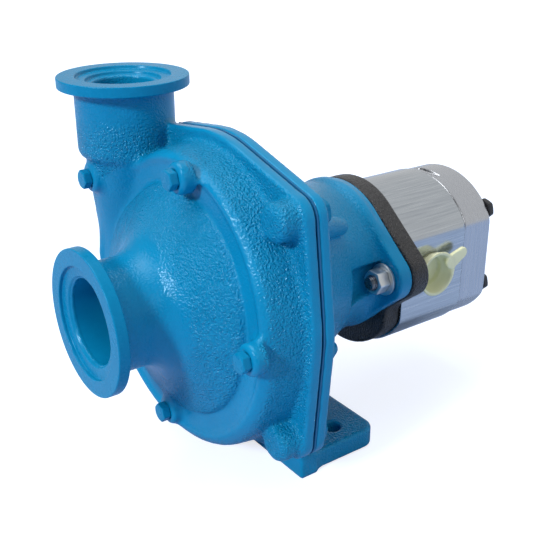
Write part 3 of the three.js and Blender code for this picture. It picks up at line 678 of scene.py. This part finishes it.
@dataclass
class VoluteCasing:
    """The blue volute: spiral drum with its dome, suction and discharge necks, rim, bosses and plugs."""

    rim_front: float = -54.0
    cutwater: float = 105.0
    even: float = 70.0
    throat: float = 285.0  # degrees past the cutwater, where the spiral is fullest
    fall: float = 50.0  # degrees that it takes to die away after the throat
    radius: tuple = (89.0, 103.0)
    shoulder: tuple = (7.0, 15.0)
    front: tuple = (-79.0, -88.0)
    dome_radius: float = 38.0
    dome_front: float = -102.0
    band: float = 14.5
    band_depth: float = 2.5
    wall: float = 7.0
    mouth: float = 86.0  # the bore that the impeller goes in through
    chamber_front: float = -88.3
    lug_boss: tuple = (11.0, -67.0)  # radius and front of each bolt lug's blind boss
    bolt_hole: tuple = (5.05, -62.3)  # radius and bottom of each tapped hole in a lug
    plug_hole: tuple = (4.3, 8.3)  # radius and depth of each plug's hole
    neck: float = 33.0
    bore: float = 25.5
    suction_flange: float = 43.5
    suction_thickness: float = 7.0
    suction_recess: tuple = (33.3, 2.4)  # radius and depth
    branch_y: float = -68.0
    branch_neck: float = 31.0
    branch_flange: float = 41.0
    branch_thickness: float = 6.5
    branch_bore: float = 19.0
    branch_low: float = 70.0  # height over the shaft where the neck stands on the throat
    branch_narrows: float = 6.5  # how much smaller the bore's radius is at the foot of the throat
    throat_narrows: float = 12.0  # the same of the throat's outside
    throat_side: float = -107.5
    lean: float = -9.0
    plug_seats: tuple = ((77, 82, -89.0), (-1.5, 85.5, -89.0), (-94, 79, -89.0))
    vent: tuple = (-79.0, 57.0, -95.6)
    boss: float = 9.3
    plug: tuple = (11.0, 5.0, 4.0)  # across flats, height, shank radius
    step: float = 1.4

    def share(self, x: Array, z: Array) -> Array:
        """How far round the spiral a place is, from 0 past the cutwater to 1 at the throat."""
        run = (self.cutwater - np.degrees(np.arctan2(z, x))) % 360
        growth = np.maximum(run - self.even, 0) / (self.throat - self.even)
        fall = np.maximum(0, 1 - (run - self.throat) / self.fall)
        return np.where(run <= self.throat, growth, fall)

    def shoulder_line(self, x: Array, z: Array) -> tuple[Array, Array, Array]:
        """Gives the shoulder's outer radius, its rounding and its foremost plane at a place."""
        t = self.share(x, z)
        outer = self.radius[0] + (self.radius[1] - self.radius[0]) * t
        edge = self.shoulder[0] + (self.shoulder[1] - self.shoulder[0]) * t
        return outer, edge, self.front[0] + (self.front[1] - self.front[0]) * t

    def drum(self, x: Array, y: Array, z: Array) -> Array:
        """The spiral shoulder, and the dome inside it, open towards the rim.

        The wall leans outwards a tenth of a millimetre for each millimetre towards the rim. Inside
        the crest the front drops by the band's depth. The dome is a cone that ends at a soft edge
        where the band starts.
        """
        r = np.hypot(x, z)
        outer, edge, front = self.shoulder_line(x, z)
        lean = 0.12 * (y - front) - 2.0
        band_front = front + self.band_depth * (1 - fade(r, outer - edge - 2.5, outer - edge + 3.0))
        across, along = r - outer - lean + edge, band_front - y + edge
        inside = np.minimum(np.maximum(across, along), 0)
        crest = np.hypot(np.maximum(across, 0), np.maximum(along, 0)) + inside - edge
        rim = outer - edge - self.band
        slope = (front - 1.6 - self.dome_front) / (rim - self.dome_radius)
        rise = (self.dome_front + (r - self.dome_radius) * slope - y) / np.sqrt(1 + slope**2)
        dome = corner(r - rim - 1.6, rise, 2.4)
        return blend_union(crest, dome, 1.6)

    def branch(self, x: Array, y: Array, z: Array) -> Array:
        """The discharge neck on its leaning throat, up to under its flange."""
        low = np.clip((self.branch_low - z) / self.branch_low, 0, 1)
        width = self.branch_neck - self.throat_narrows * low
        rho = np.hypot(x - self.throat_side - width, (y - self.branch_y - 1.5) * 1.12)
        throat = np.maximum((rho - width) * 0.95, np.maximum(-z, z - 74))
        around = np.hypot(x - AT.discharge_x, y - self.branch_y)
        neck = corner(around - self.branch_neck, 69 - z, 6.0)
        seat = np.maximum(around - (self.branch_flange - 1.5), 113.6 - z)
        neck = blend_union(neck, seat, 4.0)
        return np.maximum(blend_union(throat, neck, 2.5), z - 115)

    def outside(self, x: Array, y: Array, z: Array) -> Array:
        """Everything that the mould's outer half shapes."""
        drum = self.drum(x, y, z)
        rim = corner(RIM.outline(x, z), self.rim_front - y, 1.6)
        body = blend_union(drum, rim, 3.5)
        for cx, cz in RIM.lug_centres():
            boss = corner(np.hypot(x - cx, z - cz) - self.lug_boss[0], self.lug_boss[1] - y, 4.5)
            body = blend_union(body, boss, 3.5)
        neck = np.maximum(np.hypot(x, z) - self.neck, -136 - y)
        seat = np.maximum(np.hypot(x, z) - (self.suction_flange - 1.5), np.abs(y + 135) - 0.8)
        body = blend_union(body, blend_union(neck, seat, 4.0), 9.0)
        body = blend_cut(body, AT.joint - 0.05 - y, 2.0)
        body = blend_union(body, self.branch(x, y, z), 4.5)
        for cx, cz, seat_y in self.bosses():
            ahead = corner(np.hypot(x - cx, z - cz) - self.boss, seat_y - y, 2.8)
            body = blend_union(body, np.maximum(ahead, y - seat_y - 9), 5.0)
        aside = blend_cut(RIM.notch_z + 0.3 - z, RIM.notch_x - 0.3 - x, 1.0)
        return blend_cut(body, -blend_union(y - AT.joint + 0.05, aside, 1.0), 2.0)

    def bosses(self) -> list[tuple[float, float, float]]:
        """Gives each plug boss as x, z and its front."""
        return [(*polar(pitch, angle), seat) for angle, pitch, seat in self.plug_seats] + [self.vent]

    def field(self, x: Array, y: Array, z: Array) -> Array:
        """The casting: the outside, less the volute chamber, the two bores and the tapped holes."""
        rough = self.cast(x, y, z)
        body = self.outside(x, y, z) + 0.16 * rough * waviness(x, y, z)
        r = np.hypot(x, z)
        chamber = np.maximum(self.drum(x, y, z) + self.wall, r - self.mouth)
        chamber = np.maximum(chamber, self.chamber_front - y)
        body = blend_cut(body, np.maximum(chamber, y + 40), 1.5)
        body = np.maximum(body, -np.maximum(r - self.bore, y + 80))
        low = np.clip((self.branch_low - z) / self.branch_low, 0, 1)
        rho = np.hypot(x - AT.discharge_x - self.lean * low, y - self.branch_y)
        way = rho - (self.branch_bore - self.branch_narrows * low)
        body = blend_cut(body, np.maximum(way, 7 - z), 1.5)
        radius, bottom = self.bolt_hole
        for cx, cz in RIM.lug_centres():
            body = np.maximum(body, -np.maximum(np.hypot(x - cx, z - cz) - radius, bottom - y))
        radius, depth = self.plug_hole
        for cx, cz, seat in self.bosses():
            hole = np.maximum(np.hypot(x - cx, z - cz) - radius, y - seat - depth)
            body = np.maximum(body, -hole)
        return body

    def cast(self, x: Array, y: Array, z: Array) -> Array:
        """How rough the mould left it: full on the slanted wall, less on the band, the crest and necks."""
        r = np.hypot(x, z)
        outer, edge, front = self.shoulder_line(x, z)
        inner = outer - edge
        band = fade(r, inner - self.band, inner - self.band + 3) * (y < front + 8)
        band = band * fade(-r, -inner - 0.75 * edge - 1, -inner - 0.6 * edge)
        rough = 1 - 0.72 * band
        rough = rough * (1 - 0.75 * fade(-r, -52, -38) * fade(-y, 88, 100))
        rough = rough * (1 - 0.9 * fade(-r, -31, -28) * (np.abs(z) < 40))
        rough = rough * (1 - 0.65 * fade(z, 84, 100))
        rim_side = fade(RIM.outline(x, z), -1.6, -0.4) * fade(y, -56, -52)
        for cx, cz, seat_y in self.bosses():
            near = fade(self.boss - np.hypot(x - cx, z - cz), -3.5, -0.5) * fade(seat_y - y, -7, -4)
            rough = rough * (1 - 0.8 * near)
        return rough * (1 - 0.85 * rim_side) + 0 * x

    def build(self) -> None:
        """Builds the casting, the two turned flanges and the plugs."""
        casting = net_piece(
            "volute_casting", self.field, (-124, -138, -122), (122, -34, 117), self.step, self.cast
        )
        fit(casting, "pump_body", "blue_paint", BLUE, "volute_casing")
        face, rear = AT.suction_face, AT.suction_face + self.suction_thickness
        bore, (recess, depth) = self.bore, self.suction_recess
        suction = [
            (bore - 0.05, rear), (bore - 0.05, face + 5.0), (bore + 1.6, face + 3.0), (recess, face + depth),
            (recess, face), (self.suction_flange, face), (self.suction_flange, rear),
        ]
        fit(turned("suction_flange", suction, (0, 0, AT.shaft_z), Axis.Y, 0.8, segments=192),
            "pump_body", "blue_paint", FLANGE_BLUE)
        top = AT.discharge_top
        under = top - self.branch_thickness
        discharge = [
            (self.branch_bore - 0.05, under), (self.branch_bore - 0.05, top - 6.0), (22.9, top - 4.2),
            (23.4, top - 2.4), (29.0, top - 2.0), (29.6, top), (self.branch_flange, top),
            (self.branch_flange, under),
        ]
        place = (AT.discharge_x, self.branch_y, 0)
        fit(turned("discharge_flange", discharge, place, Axis.Z, 0.8, segments=192),
            "pump_body", "blue_paint", FLANGE_BLUE)
        for node in ("drain_plug_1", "drain_plug_2", "drain_plug_3", "vent_plug"):
            bolt_piece(node, *self.plug, -1, FLANGE_BLUE, turn=0.35)


@dataclass
class Bracket:
    """The blue bearing bracket: rim, bell, gussets, motor flange with ears, web and foot."""

    bell: tuple = ((-38, 80), (-27, 75), (-12, 65), (3, 58), (18, 51), (39, 48.5))
    flange: float = 49.5
    ear: float = 15.0
    ear_x: float = 53.2
    flange_thickness: float = 10.0
    foot_half: float = 68.0
    foot_front: float = -37.0
    foot_rear: float = 24.0
    foot_thickness: float = 13.0
    hole_x: float = 51.0
    hole: float = 5.6
    rib_angles: tuple = (41, 131, 221, 311)
    rib_line: tuple = ((82.0, -40.0), (60.0, 6.0))  # its ends, as radius and y
    rib_radius: tuple = (10.5, 5.5)  # at those ends
    # Each bore as radius, front and rear: seal chamber, seat bore, shaft way, front bearing and its
    # way through, rear bearing, motor pilot.
    bores: tuple = (
        (24.0, -60, -27), (20.3, -60, -22), (13.5, -60, 60), (26.3, -10.4, 6), (21.5, -10, 14),
        (31.3, 13.6, 60), (41.6, 41.5, 60),
    )
    bolt_way: float = 5.5
    spot_face: float = 11.6
    spot_front: float = 11.7
    casing_bolt: tuple = (14.3, 6.2, 4.75)  # across flats, height, shank radius
    step: float = 1.35

    def ears(self, x: Array, z: Array) -> Array:
        """Distance to the flange's outline: a circle drawn out to an ear at each side."""
        right = two_circle_hull(x, z, self.flange, self.ear_x, 0.0, self.ear)
        left = two_circle_hull(x, z, self.flange, -self.ear_x, 0.0, self.ear)
        return np.minimum(right, left)

    def gusset(self, x: Array, y: Array, z: Array, angle: float) -> Array:
        """A tapered round rib that runs back along the bell.

        It is the distance to the rib's middle line, less a radius that shrinks along it.

        Args:
            x, y, z: the places asked for.
            angle: where the rib stands round the bell, in degrees.
        Returns:
            The rib's distance.
        """
        cx, cz = polar(1.0, angle)
        start, end = np.array(self.rib_line)
        long = end - start
        out, side = x * cx + z * cz, x * cz - z * cx
        run = ((out - start[0]) * long[0] + (y - start[1]) * long[1]) / (long**2).sum()
        run = np.clip(run, 0, 1)
        gap_out, gap_y = out - start[0] - run * long[0], y - start[1] - run * long[1]
        thick = self.rib_radius[0] + (self.rib_radius[1] - self.rib_radius[0]) * run
        return np.maximum(np.sqrt(gap_out**2 + gap_y**2 + side**2) - thick, AT.joint + 4 - y)

    def foot(self, x: Array, y: Array, z: Array) -> Array:
        """The foot plate with its two round rear corners, and the web that carries the rim."""
        low = -AT.shaft_z
        side, back, front = np.abs(x) - self.foot_half, y - self.foot_rear, self.foot_front - y
        outline = np.maximum(corner(side, back, 10.0), front)
        plate = corner(outline, np.abs(z - low - self.foot_thickness / 2) - self.foot_thickness / 2, 1.8)
        width = self.foot_half - 6 * np.clip((z - low - 15) / 23, 0, 1)
        web = np.maximum(np.abs(x) - width, np.abs(y - self.foot_front - 4) - 4)
        web = np.maximum(web, np.maximum(low + 1 - z, z + 70))
        return blend_union(plate, web, 9.0)

    def field(self, x: Array, y: Array, z: Array) -> Array:
        """The casting: rim, bell, gussets, flange and foot with fillets, less its bores and holes."""
        r = np.hypot(x, z)
        rim = slab(RIM.outline(x, z), y, AT.gasket_rear + 0.05, -38.0, 1.2)
        stations, radii = zip(*self.bell)
        bell_radius = sum(np.interp(y + d, stations, radii) for d in (-6, -3, 0, 3, 6)) / 5
        bell = np.maximum((r - bell_radius) * 0.85, np.maximum(-44 - y, y - 40))
        body = blend_union(rim, bell, 8.0)
        face = AT.flange_rear
        flange = slab(self.ears(x, z), y, face - self.flange_thickness, face, 1.2)
        body = blend_union(body, flange, 7.0)
        for angle in self.rib_angles:
            body = blend_union(body, self.gusset(x, y, z, angle), 2.0)
        body = blend_union(body, self.foot(x, y, z), 8.0)
        body = body + 0.1 * self.cast(x, y, z) * waviness(x, y, z)
        notch = np.maximum(np.maximum(x - RIM.notch_x, RIM.notch_z - z), y + 37.5)
        body = blend_cut(body, notch, 2.0)
        body = blend_cut(body, y - AT.gasket_rear - 0.05, 1.5)
        for radius, y0, y1 in self.bores:
            body = np.maximum(body, -np.maximum(r - radius, np.maximum(y0 - y, y - y1)))
        body = blend_cut(body, z + AT.shaft_z, 0.8)
        for side in (-1, 1):
            rho = np.hypot(x - side * self.ear_x, z)
            body = np.maximum(body, -np.maximum(rho - self.bolt_way, 20 - y))
            depth = np.maximum(self.spot_front - y, y - face + self.flange_thickness)
            spot = np.maximum(rho - self.spot_face, depth)
            body = blend_cut(body, spot, 1.2)
            down = np.hypot(x - side * self.hole_x, y)
            body = np.maximum(body, -np.maximum(down - self.hole, z + AT.shaft_z - 16))
        for cx, cz in RIM.lug_centres():
            body = np.maximum(body, -np.maximum(np.hypot(x - cx, z - cz) - 5.35, y + 30))
        return body

    def cast(self, x: Array, y: Array, z: Array) -> Array:
        """How rough the mould left it: fairly smooth, and machined flat on its two faces and its edge."""
        rim_side = fade(RIM.outline(x, z), -1.6, -0.4) * fade(-y, 37, 39)
        flange = fade(y, AT.flange_rear - self.flange_thickness, AT.flange_rear - 8)
        return 0.42 * (1 - 0.8 * rim_side) * (1 - 0.6 * flange) + 0 * (x + z)

    def build(self) -> None:
        """Builds the bracket's casting and the hardware that stands on it."""
        casting = net_piece(
            "bearing_bracket", self.field, (-124, -47, -111), (122, 50, 118), self.step, self.cast
        )
        fit(casting, "pump_body", "blue_paint", BLUE, "mounting_bracket")
        for number in range(1, 5):
            bolt_piece(f"casing_bolt_{number}", *self.casing_bolt, 1, FLANGE_BLUE, turn=0.2 * number)


@dataclass
class MotorJoint:
    """The two through bolts that hold the motor, with their washers and nuts on the pump's side."""

    flats: float = 14.3  # of the nut
    thread: float = 4.7
    head: tuple = (13.8, 6.2)  # across flats, height
    threaded: float = 16.0  # length of the thread that shows
    washer: tuple = (5.2, 10.3)  # inner and outer radius

    def build(self) -> None:
        """Builds both sides' bolt, threaded end, washer and nut."""
        for side in ("left", "right"):
            low, high = node_box(f"mount_bolt_{side}")
            centre = ((low[0] + high[0]) / 2, (low[2] + high[2]) / 2)
            flats, height = self.head
            seat = high[1] - height
            bolt = HexPiece(flats, height, self.thread, seat - low[1] - self.threaded + 2, turn=0.0)
            fit(bolt.build(f"mount_bolt_{side}_head", centre, seat, 1), "pump_body", "dark_steel",
                DARK_STEEL, f"mount_bolt_{side}")
            thread = threaded_rod(f"mount_bolt_{side}_thread", centre, low[1], low[1] + self.threaded,
                                  self.thread, 1.5)
            fit(thread, "pump_body", "dark_steel", THREAD)
            low, high = node_box(f"mount_nut_{side}")
            nut = HexPiece(self.flats, high[1] - low[1], self.thread - 0.15, 0, turn=0.5, bored=True)
            fit(nut.build(f"mount_nut_{side}_hex", centre, high[1], -1), "pump_body", "zinc", ZINC,
                f"mount_nut_{side}")
            low, high = node_box(f"mount_washer_{side}")
            inner, outer = self.washer
            ring = [(inner, low[1]), (inner, high[1]), (outer, high[1]), (outer, low[1])]
            place = (centre[0], 0, centre[1])
            fit(turned(f"mount_washer_{side}_disc", ring, place, Axis.Y, 0.3, segments=64),
                "pump_body", "zinc", ZINC, f"mount_washer_{side}")


@dataclass
class GearMotor:
    """The hydraulic motor: black flange, aluminium body and cover, four bolts and two port caps."""

    half: float = 46.0
    arc: float = 51.8
    top: float = 43.0
    bottom: float = -68.0
    flange: float = 49.5
    ear: float = 16.0
    ear_x: float = 53.2
    port_y: float = 85.5
    port_z: float = -9.0
    port: float = 12.5
    bolts: tuple = ((36.5, 19.0), (38.0, -35.0))
    bolt: tuple = (13.0, 4.0, 3.5)  # across flats, height, shank radius
    bolt_way: float = 3.6
    bore: float = 18.15
    lobe: float = 11.5  # pocket in the cover behind each gear
    lobe_depth: float = 6.0
    pilot: tuple = (41.0, 5.2)  # radius and height
    shaft_way: float = 10.8
    seal_way: float = 15.0
    mount_way: float = 5.5
    slot: tuple = (6.0, 15.0, 1.6, 40.2)  # middle across, half length, half width, floor
    cup: tuple = ((36, 46.4, 48, 54), (11.1, 11.1, 12.2, 14.4))  # the cap's wall: out, mid radius
    cup_wall: float = 1.1
    tab_turn: float = 23.0  # degrees above level

    def section(self, x: Array, z: Array, inset: float = 0.0) -> Array:
        """Distance to the body's outline: straight sides under an arc at the top and the bottom."""
        crown = np.hypot(x, z - (self.top - self.arc)) - self.arc
        keel = np.hypot(x, z - (self.bottom + self.arc)) - self.arc
        ends = np.where(z > (self.top + self.bottom) / 2, crown, keel)
        return blend_cut(ends, self.half - np.abs(x), 2.0) + inset

    def bolt_holes(self, x: Array, z: Array, radius: float) -> Array:
        """Distance to the four through bolts' holes."""
        holes = [np.hypot(x - side * bx, z - bz) - radius for side in (-1, 1) for bx, bz in self.bolts]
        return np.minimum.reduce(holes)

    def flange_field(self, x: Array, y: Array, z: Array) -> Array:
        """The eared flange with the body's lower lobe behind it, bored for the shaft and the bolts."""
        right = two_circle_hull(x, z, self.flange, self.ear_x, 0.0, self.ear)
        left = two_circle_hull(x, z, self.flange, -self.ear_x, 0.0, self.ear)
        outline = blend_union(np.minimum(right, left), self.section(x, z, 1.5), 4.0)
        front, rear = AT.motor_face, AT.body_front - 0.3
        body = slab(outline, y, front, rear, 1.6)
        body = body + 0.12 * waviness(x * 1.3, y * 1.3, z * 1.3) * (y > front + 1) * (y < rear - 1)
        r = np.hypot(x, z)
        pilot, height = self.pilot
        body = np.minimum(body, slab(r - pilot, y, front - height, front + 2, 0.6))
        body = np.maximum(body, -np.maximum(r - self.shaft_way, front - 10 - y))
        body = np.maximum(body, -np.maximum(r - self.seal_way, y - front - 3))
        for side in (-1, 1):
            body = np.maximum(body, -(np.hypot(x - side * self.ear_x, z) - self.mount_way))
        return np.maximum(body, -np.maximum(self.bolt_holes(x, z, self.bolt_way), rear - 9 - y))

    def body_field(self, x: Array, y: Array, z: Array) -> Array:
        """The extruded body with its two gear chambers, its cross ports and its bolt holes."""
        body = slab(self.section(x, z), y, AT.body_front, AT.body_rear, 0.7)
        driven = AT.driven_z - AT.shaft_z
        for cz in (0.0, driven):
            body = np.maximum(body, -(np.hypot(x, z - cz) - self.bore))
        port = np.hypot(y - self.port_y, z - self.port_z) - self.port
        body = blend_cut(body, port + 0 * x, 1.0)
        return np.maximum(body, -self.bolt_holes(x, z, self.bolt_way))

    def cover_field(self, x: Array, y: Array, z: Array) -> Array:
        """The rear cover: the same section a little smaller, with round edges and a slot on top."""
        front = AT.cover_front
        body = slab(self.section(x, z, 1.0), y, front, AT.cover_rear, 1.8)
        middle, half_length, half_width, floor = self.slot
        slot = np.maximum(np.abs(y - front - 6) - half_width, floor - z)
        body = blend_cut(body, np.maximum(np.abs(x - middle) - half_length, slot), 1.0)
        driven = AT.driven_z - AT.shaft_z
        for cz in (0.0, driven):
            pocket = np.maximum(np.hypot(x, z - cz) - self.lobe, y - front - self.lobe_depth)
            body = np.maximum(body, -pocket)
        return np.maximum(body, -self.bolt_holes(x, z, self.bolt_way))

    def cap_field(self, side: int) -> Field:
        """Gives a port cap's field: a flared cup with a floor, and a pull tab on its rim.

        Args:
            side: 1 for the cap at +X, -1 for the one at -X.
        Returns:
            The field.
        """

        def shape(x: Array, y: Array, z: Array) -> Array:
            """A wall about a flaring radius, a floor, and the tab, joined softly."""
            out = side * x
            dy, dz = y - self.port_y, z - self.port_z
            rho = np.hypot(dy, dz)
            places, radii = self.cup
            mid = np.interp(out, places, radii)
            half = (places[-1] - places[0]) / 2
            cup = corner(np.abs(rho - mid) - self.cup_wall, np.abs(out - places[0] - half) - half, 0.6)
            floor = np.maximum(rho - radii[0], np.abs(out - 41.5) - 1.2)
            turn = math.radians(self.tab_turn)
            u, v = dy * math.cos(turn) + dz * math.sin(turn), dz * math.cos(turn) - dy * math.sin(turn)
            width = 5.2 - 1.2 * fade(u, 15, 26)
            long = np.hypot(np.maximum(np.abs(u - 19.5) - 5, 0), v) - width
            tab = corner(long, np.abs(out - 52.4) - 1.3, 0.6)
            return blend_union(blend_union(cup, floor, 1.0), tab, 1.2)

        return shape

    def build(self) -> None:
        """Builds the motor's castings, bolts and port caps."""
        front, rear = AT.motor_face, AT.body_front
        flange = net_piece("motor_flange_casting", self.flange_field, (-72, front - 7, -71),
                           (72, rear + 1, 52), 1.05, lambda x, y, z: 1.0 + 0 * x)
        fit(flange, "pump_body", "black_iron", BLACK_IRON, "motor_flange")
        body = net_piece("motor_body_extrusion", self.body_field, (-49, AT.body_front - 2, -71),
                         (49, AT.body_rear + 2, 46), 1.1)
        fit(body, "pump_body", "aluminium", ALUMINIUM, "motor_body")
        cover = net_piece("motor_cover_casting", self.cover_field, (-48, AT.cover_front - 2, -70),
                          (48, AT.cover_rear + 2, 45), 0.9)
        fit(cover, "pump_body", "machined_aluminium", CAST_ALUMINIUM, "motor_rear_cover")
        for number in range(1, 5):
            bolt_piece(f"motor_bolt_{number}", *self.bolt, 1, DARK_STEEL, turn=0.25)
        for side, word in ((1, "right"), (-1, "left")):
            reach = sorted((side * 34.0, side * 56.0))
            low = (reach[0], self.port_y - 18, self.port_z - 18)
            high = (reach[1], self.port_y + 32, self.port_z + 22)
            cap = net_piece(f"port_cap_{word}", self.cap_field(side), low, high, 0.7)
            fit(cap, f"{word}_port_cap", "cream_plastic", CREAM, f"port_plug_{word}")


def bolt_piece(
    node: str, flats: float, height: float, shank: float, forward: int, finish: Finish, turn: float
) -> bpy.types.Object:
    """Builds a hexagon bolt in place of a CAD one, from that node's box.

    Args:
        node: the CAD bolt.
        flats: width of the head across its flats.
        height: height of the head.
        shank: radius of the shank.
        forward: 1 where the head is at the +Y end, -1 where it is at the -Y end.
        finish: its surface.
        turn: how far the hexagon is turned, in radians.
    Returns:
        The new piece.
    """
    low, high = node_box(node)
    centre = ((low[0] + high[0]) / 2, (low[2] + high[2]) / 2)
    seat = high[1] - height if forward > 0 else low[1] + height
    length = seat - low[1] if forward > 0 else high[1] - seat
    bolt = HexPiece(flats, height, shank, length, turn)
    slot = "dark_steel" if finish is DARK_STEEL else "blue_paint"
    return fit(bolt.build(f"{node}_hex", centre, seat, forward), "pump_body", slot, finish, node)


def dress_internals() -> None:
    """Gives every CAD node that still shows the finish of its own material slot."""
    for name, node in frame["nodes"].items():
        if node.hide_render:
            continue
        for place in node.material_slots:
            word = place.material.name.split(".")[0] if place.material else ""
            finish = SLOT_FINISH.get(word)
            log.info("%s keeps its CAD shape, in %s", name, word)
            if finish:
                place.material = finish.material()


@dataclass
class Studio:
    """The floor, the soft lights and the camera."""

    position: tuple = (0.4207, -0.3144, 0.3324)
    azimuth: float = 0.95174
    elevation: float = 0.40559
    roll: float = -0.00514
    lens: float = 59.42

    def floor(self) -> None:
        """Lays a wide floor that the camera sees as white, and that throws a cool light up.

        It lies a little under the foot, so that the two faces don't coincide.
        """
        reach = 6000.0
        corners = np.array([(-reach, -reach, 0), (reach, -reach, 0), (reach, reach, 0), (-reach, reach, 0)])
        floor = mesh_piece("floor", corners + (0, 0, AT.foot_low - 0.2), np.array([[0, 1, 2, 3]]))
        pale = bpy.data.materials.new("pale_floor")
        pale.use_nodes = True
        shader = pale.node_tree.nodes["Principled BSDF"]
        shader.inputs["Base Color"].default_value = (0.4, 0.5, 0.7, 1)
        shader.inputs["Roughness"].default_value = 0.9
        shader.inputs["Specular IOR Level"].default_value = 0.0
        shader.inputs["Emission Color"].default_value = (1, 1, 1, 1)
        seen = pale.node_tree.nodes.new("ShaderNodeLightPath").outputs["Is Camera Ray"]
        shown = pale.node_tree.nodes.new("ShaderNodeMath")
        shown.operation = "MULTIPLY"
        shown.inputs[1].default_value = 0.75
        pale.node_tree.links.new(seen, shown.inputs[0])
        pale.node_tree.links.new(shown.outputs["Value"], shader.inputs["Emission Strength"])
        floor.data.materials.append(pale)

    def sun(self, name: str, place: Sequence[float], spread: float, strength: float) -> None:
        """Hangs a wide soft light, so far off that the floor is lit evenly.

        Args:
            name: the light's name.
            place: the direction that it shines from.
            spread: how wide it looks, in degrees.
            strength: in watts a square metre.
        """
        light = bpy.data.lights.new(name, "SUN")
        light.angle = math.radians(spread)
        light.energy = strength
        holder = bpy.data.objects.new(name, light)
        bpy.context.scene.collection.objects.link(holder)
        holder.location = place
        holder.rotation_euler = (-Vector(place)).to_track_quat("-Z", "Y").to_euler()

    def camera(self) -> None:
        """Stands the camera: back along its azimuth and elevation, then rolled about its own view."""
        az, el = self.azimuth, self.elevation
        forward = Vector((-math.sin(az) * math.cos(el), math.cos(az) * math.cos(el), -math.sin(el)))
        right = Vector((math.cos(az), math.sin(az), 0))
        up = right.cross(forward)
        right, up = (
            right * math.cos(self.roll) + up * math.sin(self.roll),
            up * math.cos(self.roll) - right * math.sin(self.roll),
        )
        lens = bpy.data.cameras.new("camera")
        lens.lens = self.lens
        holder = bpy.data.objects.new("camera", lens)
        bpy.context.scene.collection.objects.link(holder)
        turn = Matrix((right, up, -forward)).transposed().to_4x4()
        holder.matrix_world = Matrix.Translation(self.position) @ turn
        bpy.context.scene.camera = holder

    def build(self) -> None:
        """Builds floor, lights and camera, and a white sky that is brighter behind the machine."""
        self.floor()
        self.sun("key", (0.16, -0.86, 0.52), 9.0, 2.3)
        self.sun("top", (-0.25, -0.2, 1.0), 50.0, 1.75)
        self.sun("side", (1.0, -0.2, 0.7), 35.0, 0.35)
        world = bpy.context.scene.world or bpy.data.worlds.new("sky")
        bpy.context.scene.world = world
        world.use_nodes = True
        tree = world.node_tree
        sky = tree.nodes["Background"]
        toward = tree.nodes.new("ShaderNodeTexCoord").outputs["Generated"]
        parts = tree.nodes.new("ShaderNodeSeparateXYZ")
        tree.links.new(toward, parts.inputs["Vector"])
        glow = tree.nodes.new("ShaderNodeMapRange")
        glow.interpolation_type = "SMOOTHSTEP"
        glow.inputs["From Min"].default_value = -0.1
        glow.inputs["From Max"].default_value = 0.7
        glow.inputs["To Min"].default_value = 0.13
        glow.inputs["To Max"].default_value = 0.75
        tree.links.new(parts.outputs["Y"], glow.inputs["Value"])
        seen = tree.nodes.new("ShaderNodeMath")
        seen.operation = "MAXIMUM"
        tree.links.new(glow.outputs["Result"], seen.inputs[0])
        tree.links.new(tree.nodes.new("ShaderNodeLightPath").outputs["Is Camera Ray"], seen.inputs[1])
        tree.links.new(seen.outputs["Value"], sky.inputs["Strength"])
        sky.inputs["Color"].default_value = (1, 1, 1, 1)
        bpy.context.scene.view_settings.view_transform = "Standard"
        self.camera()


def main() -> None:
    """Builds the machine's sub-assemblies in order, then the studio."""
    logging.basicConfig(level=logging.INFO, format="%(message)s")
    Studio().build()
    VoluteCasing().build()
    Bracket().build()
    MotorJoint().build()
    GearMotor().build()
    dress_internals()


if __name__ == "__main__":
    main()
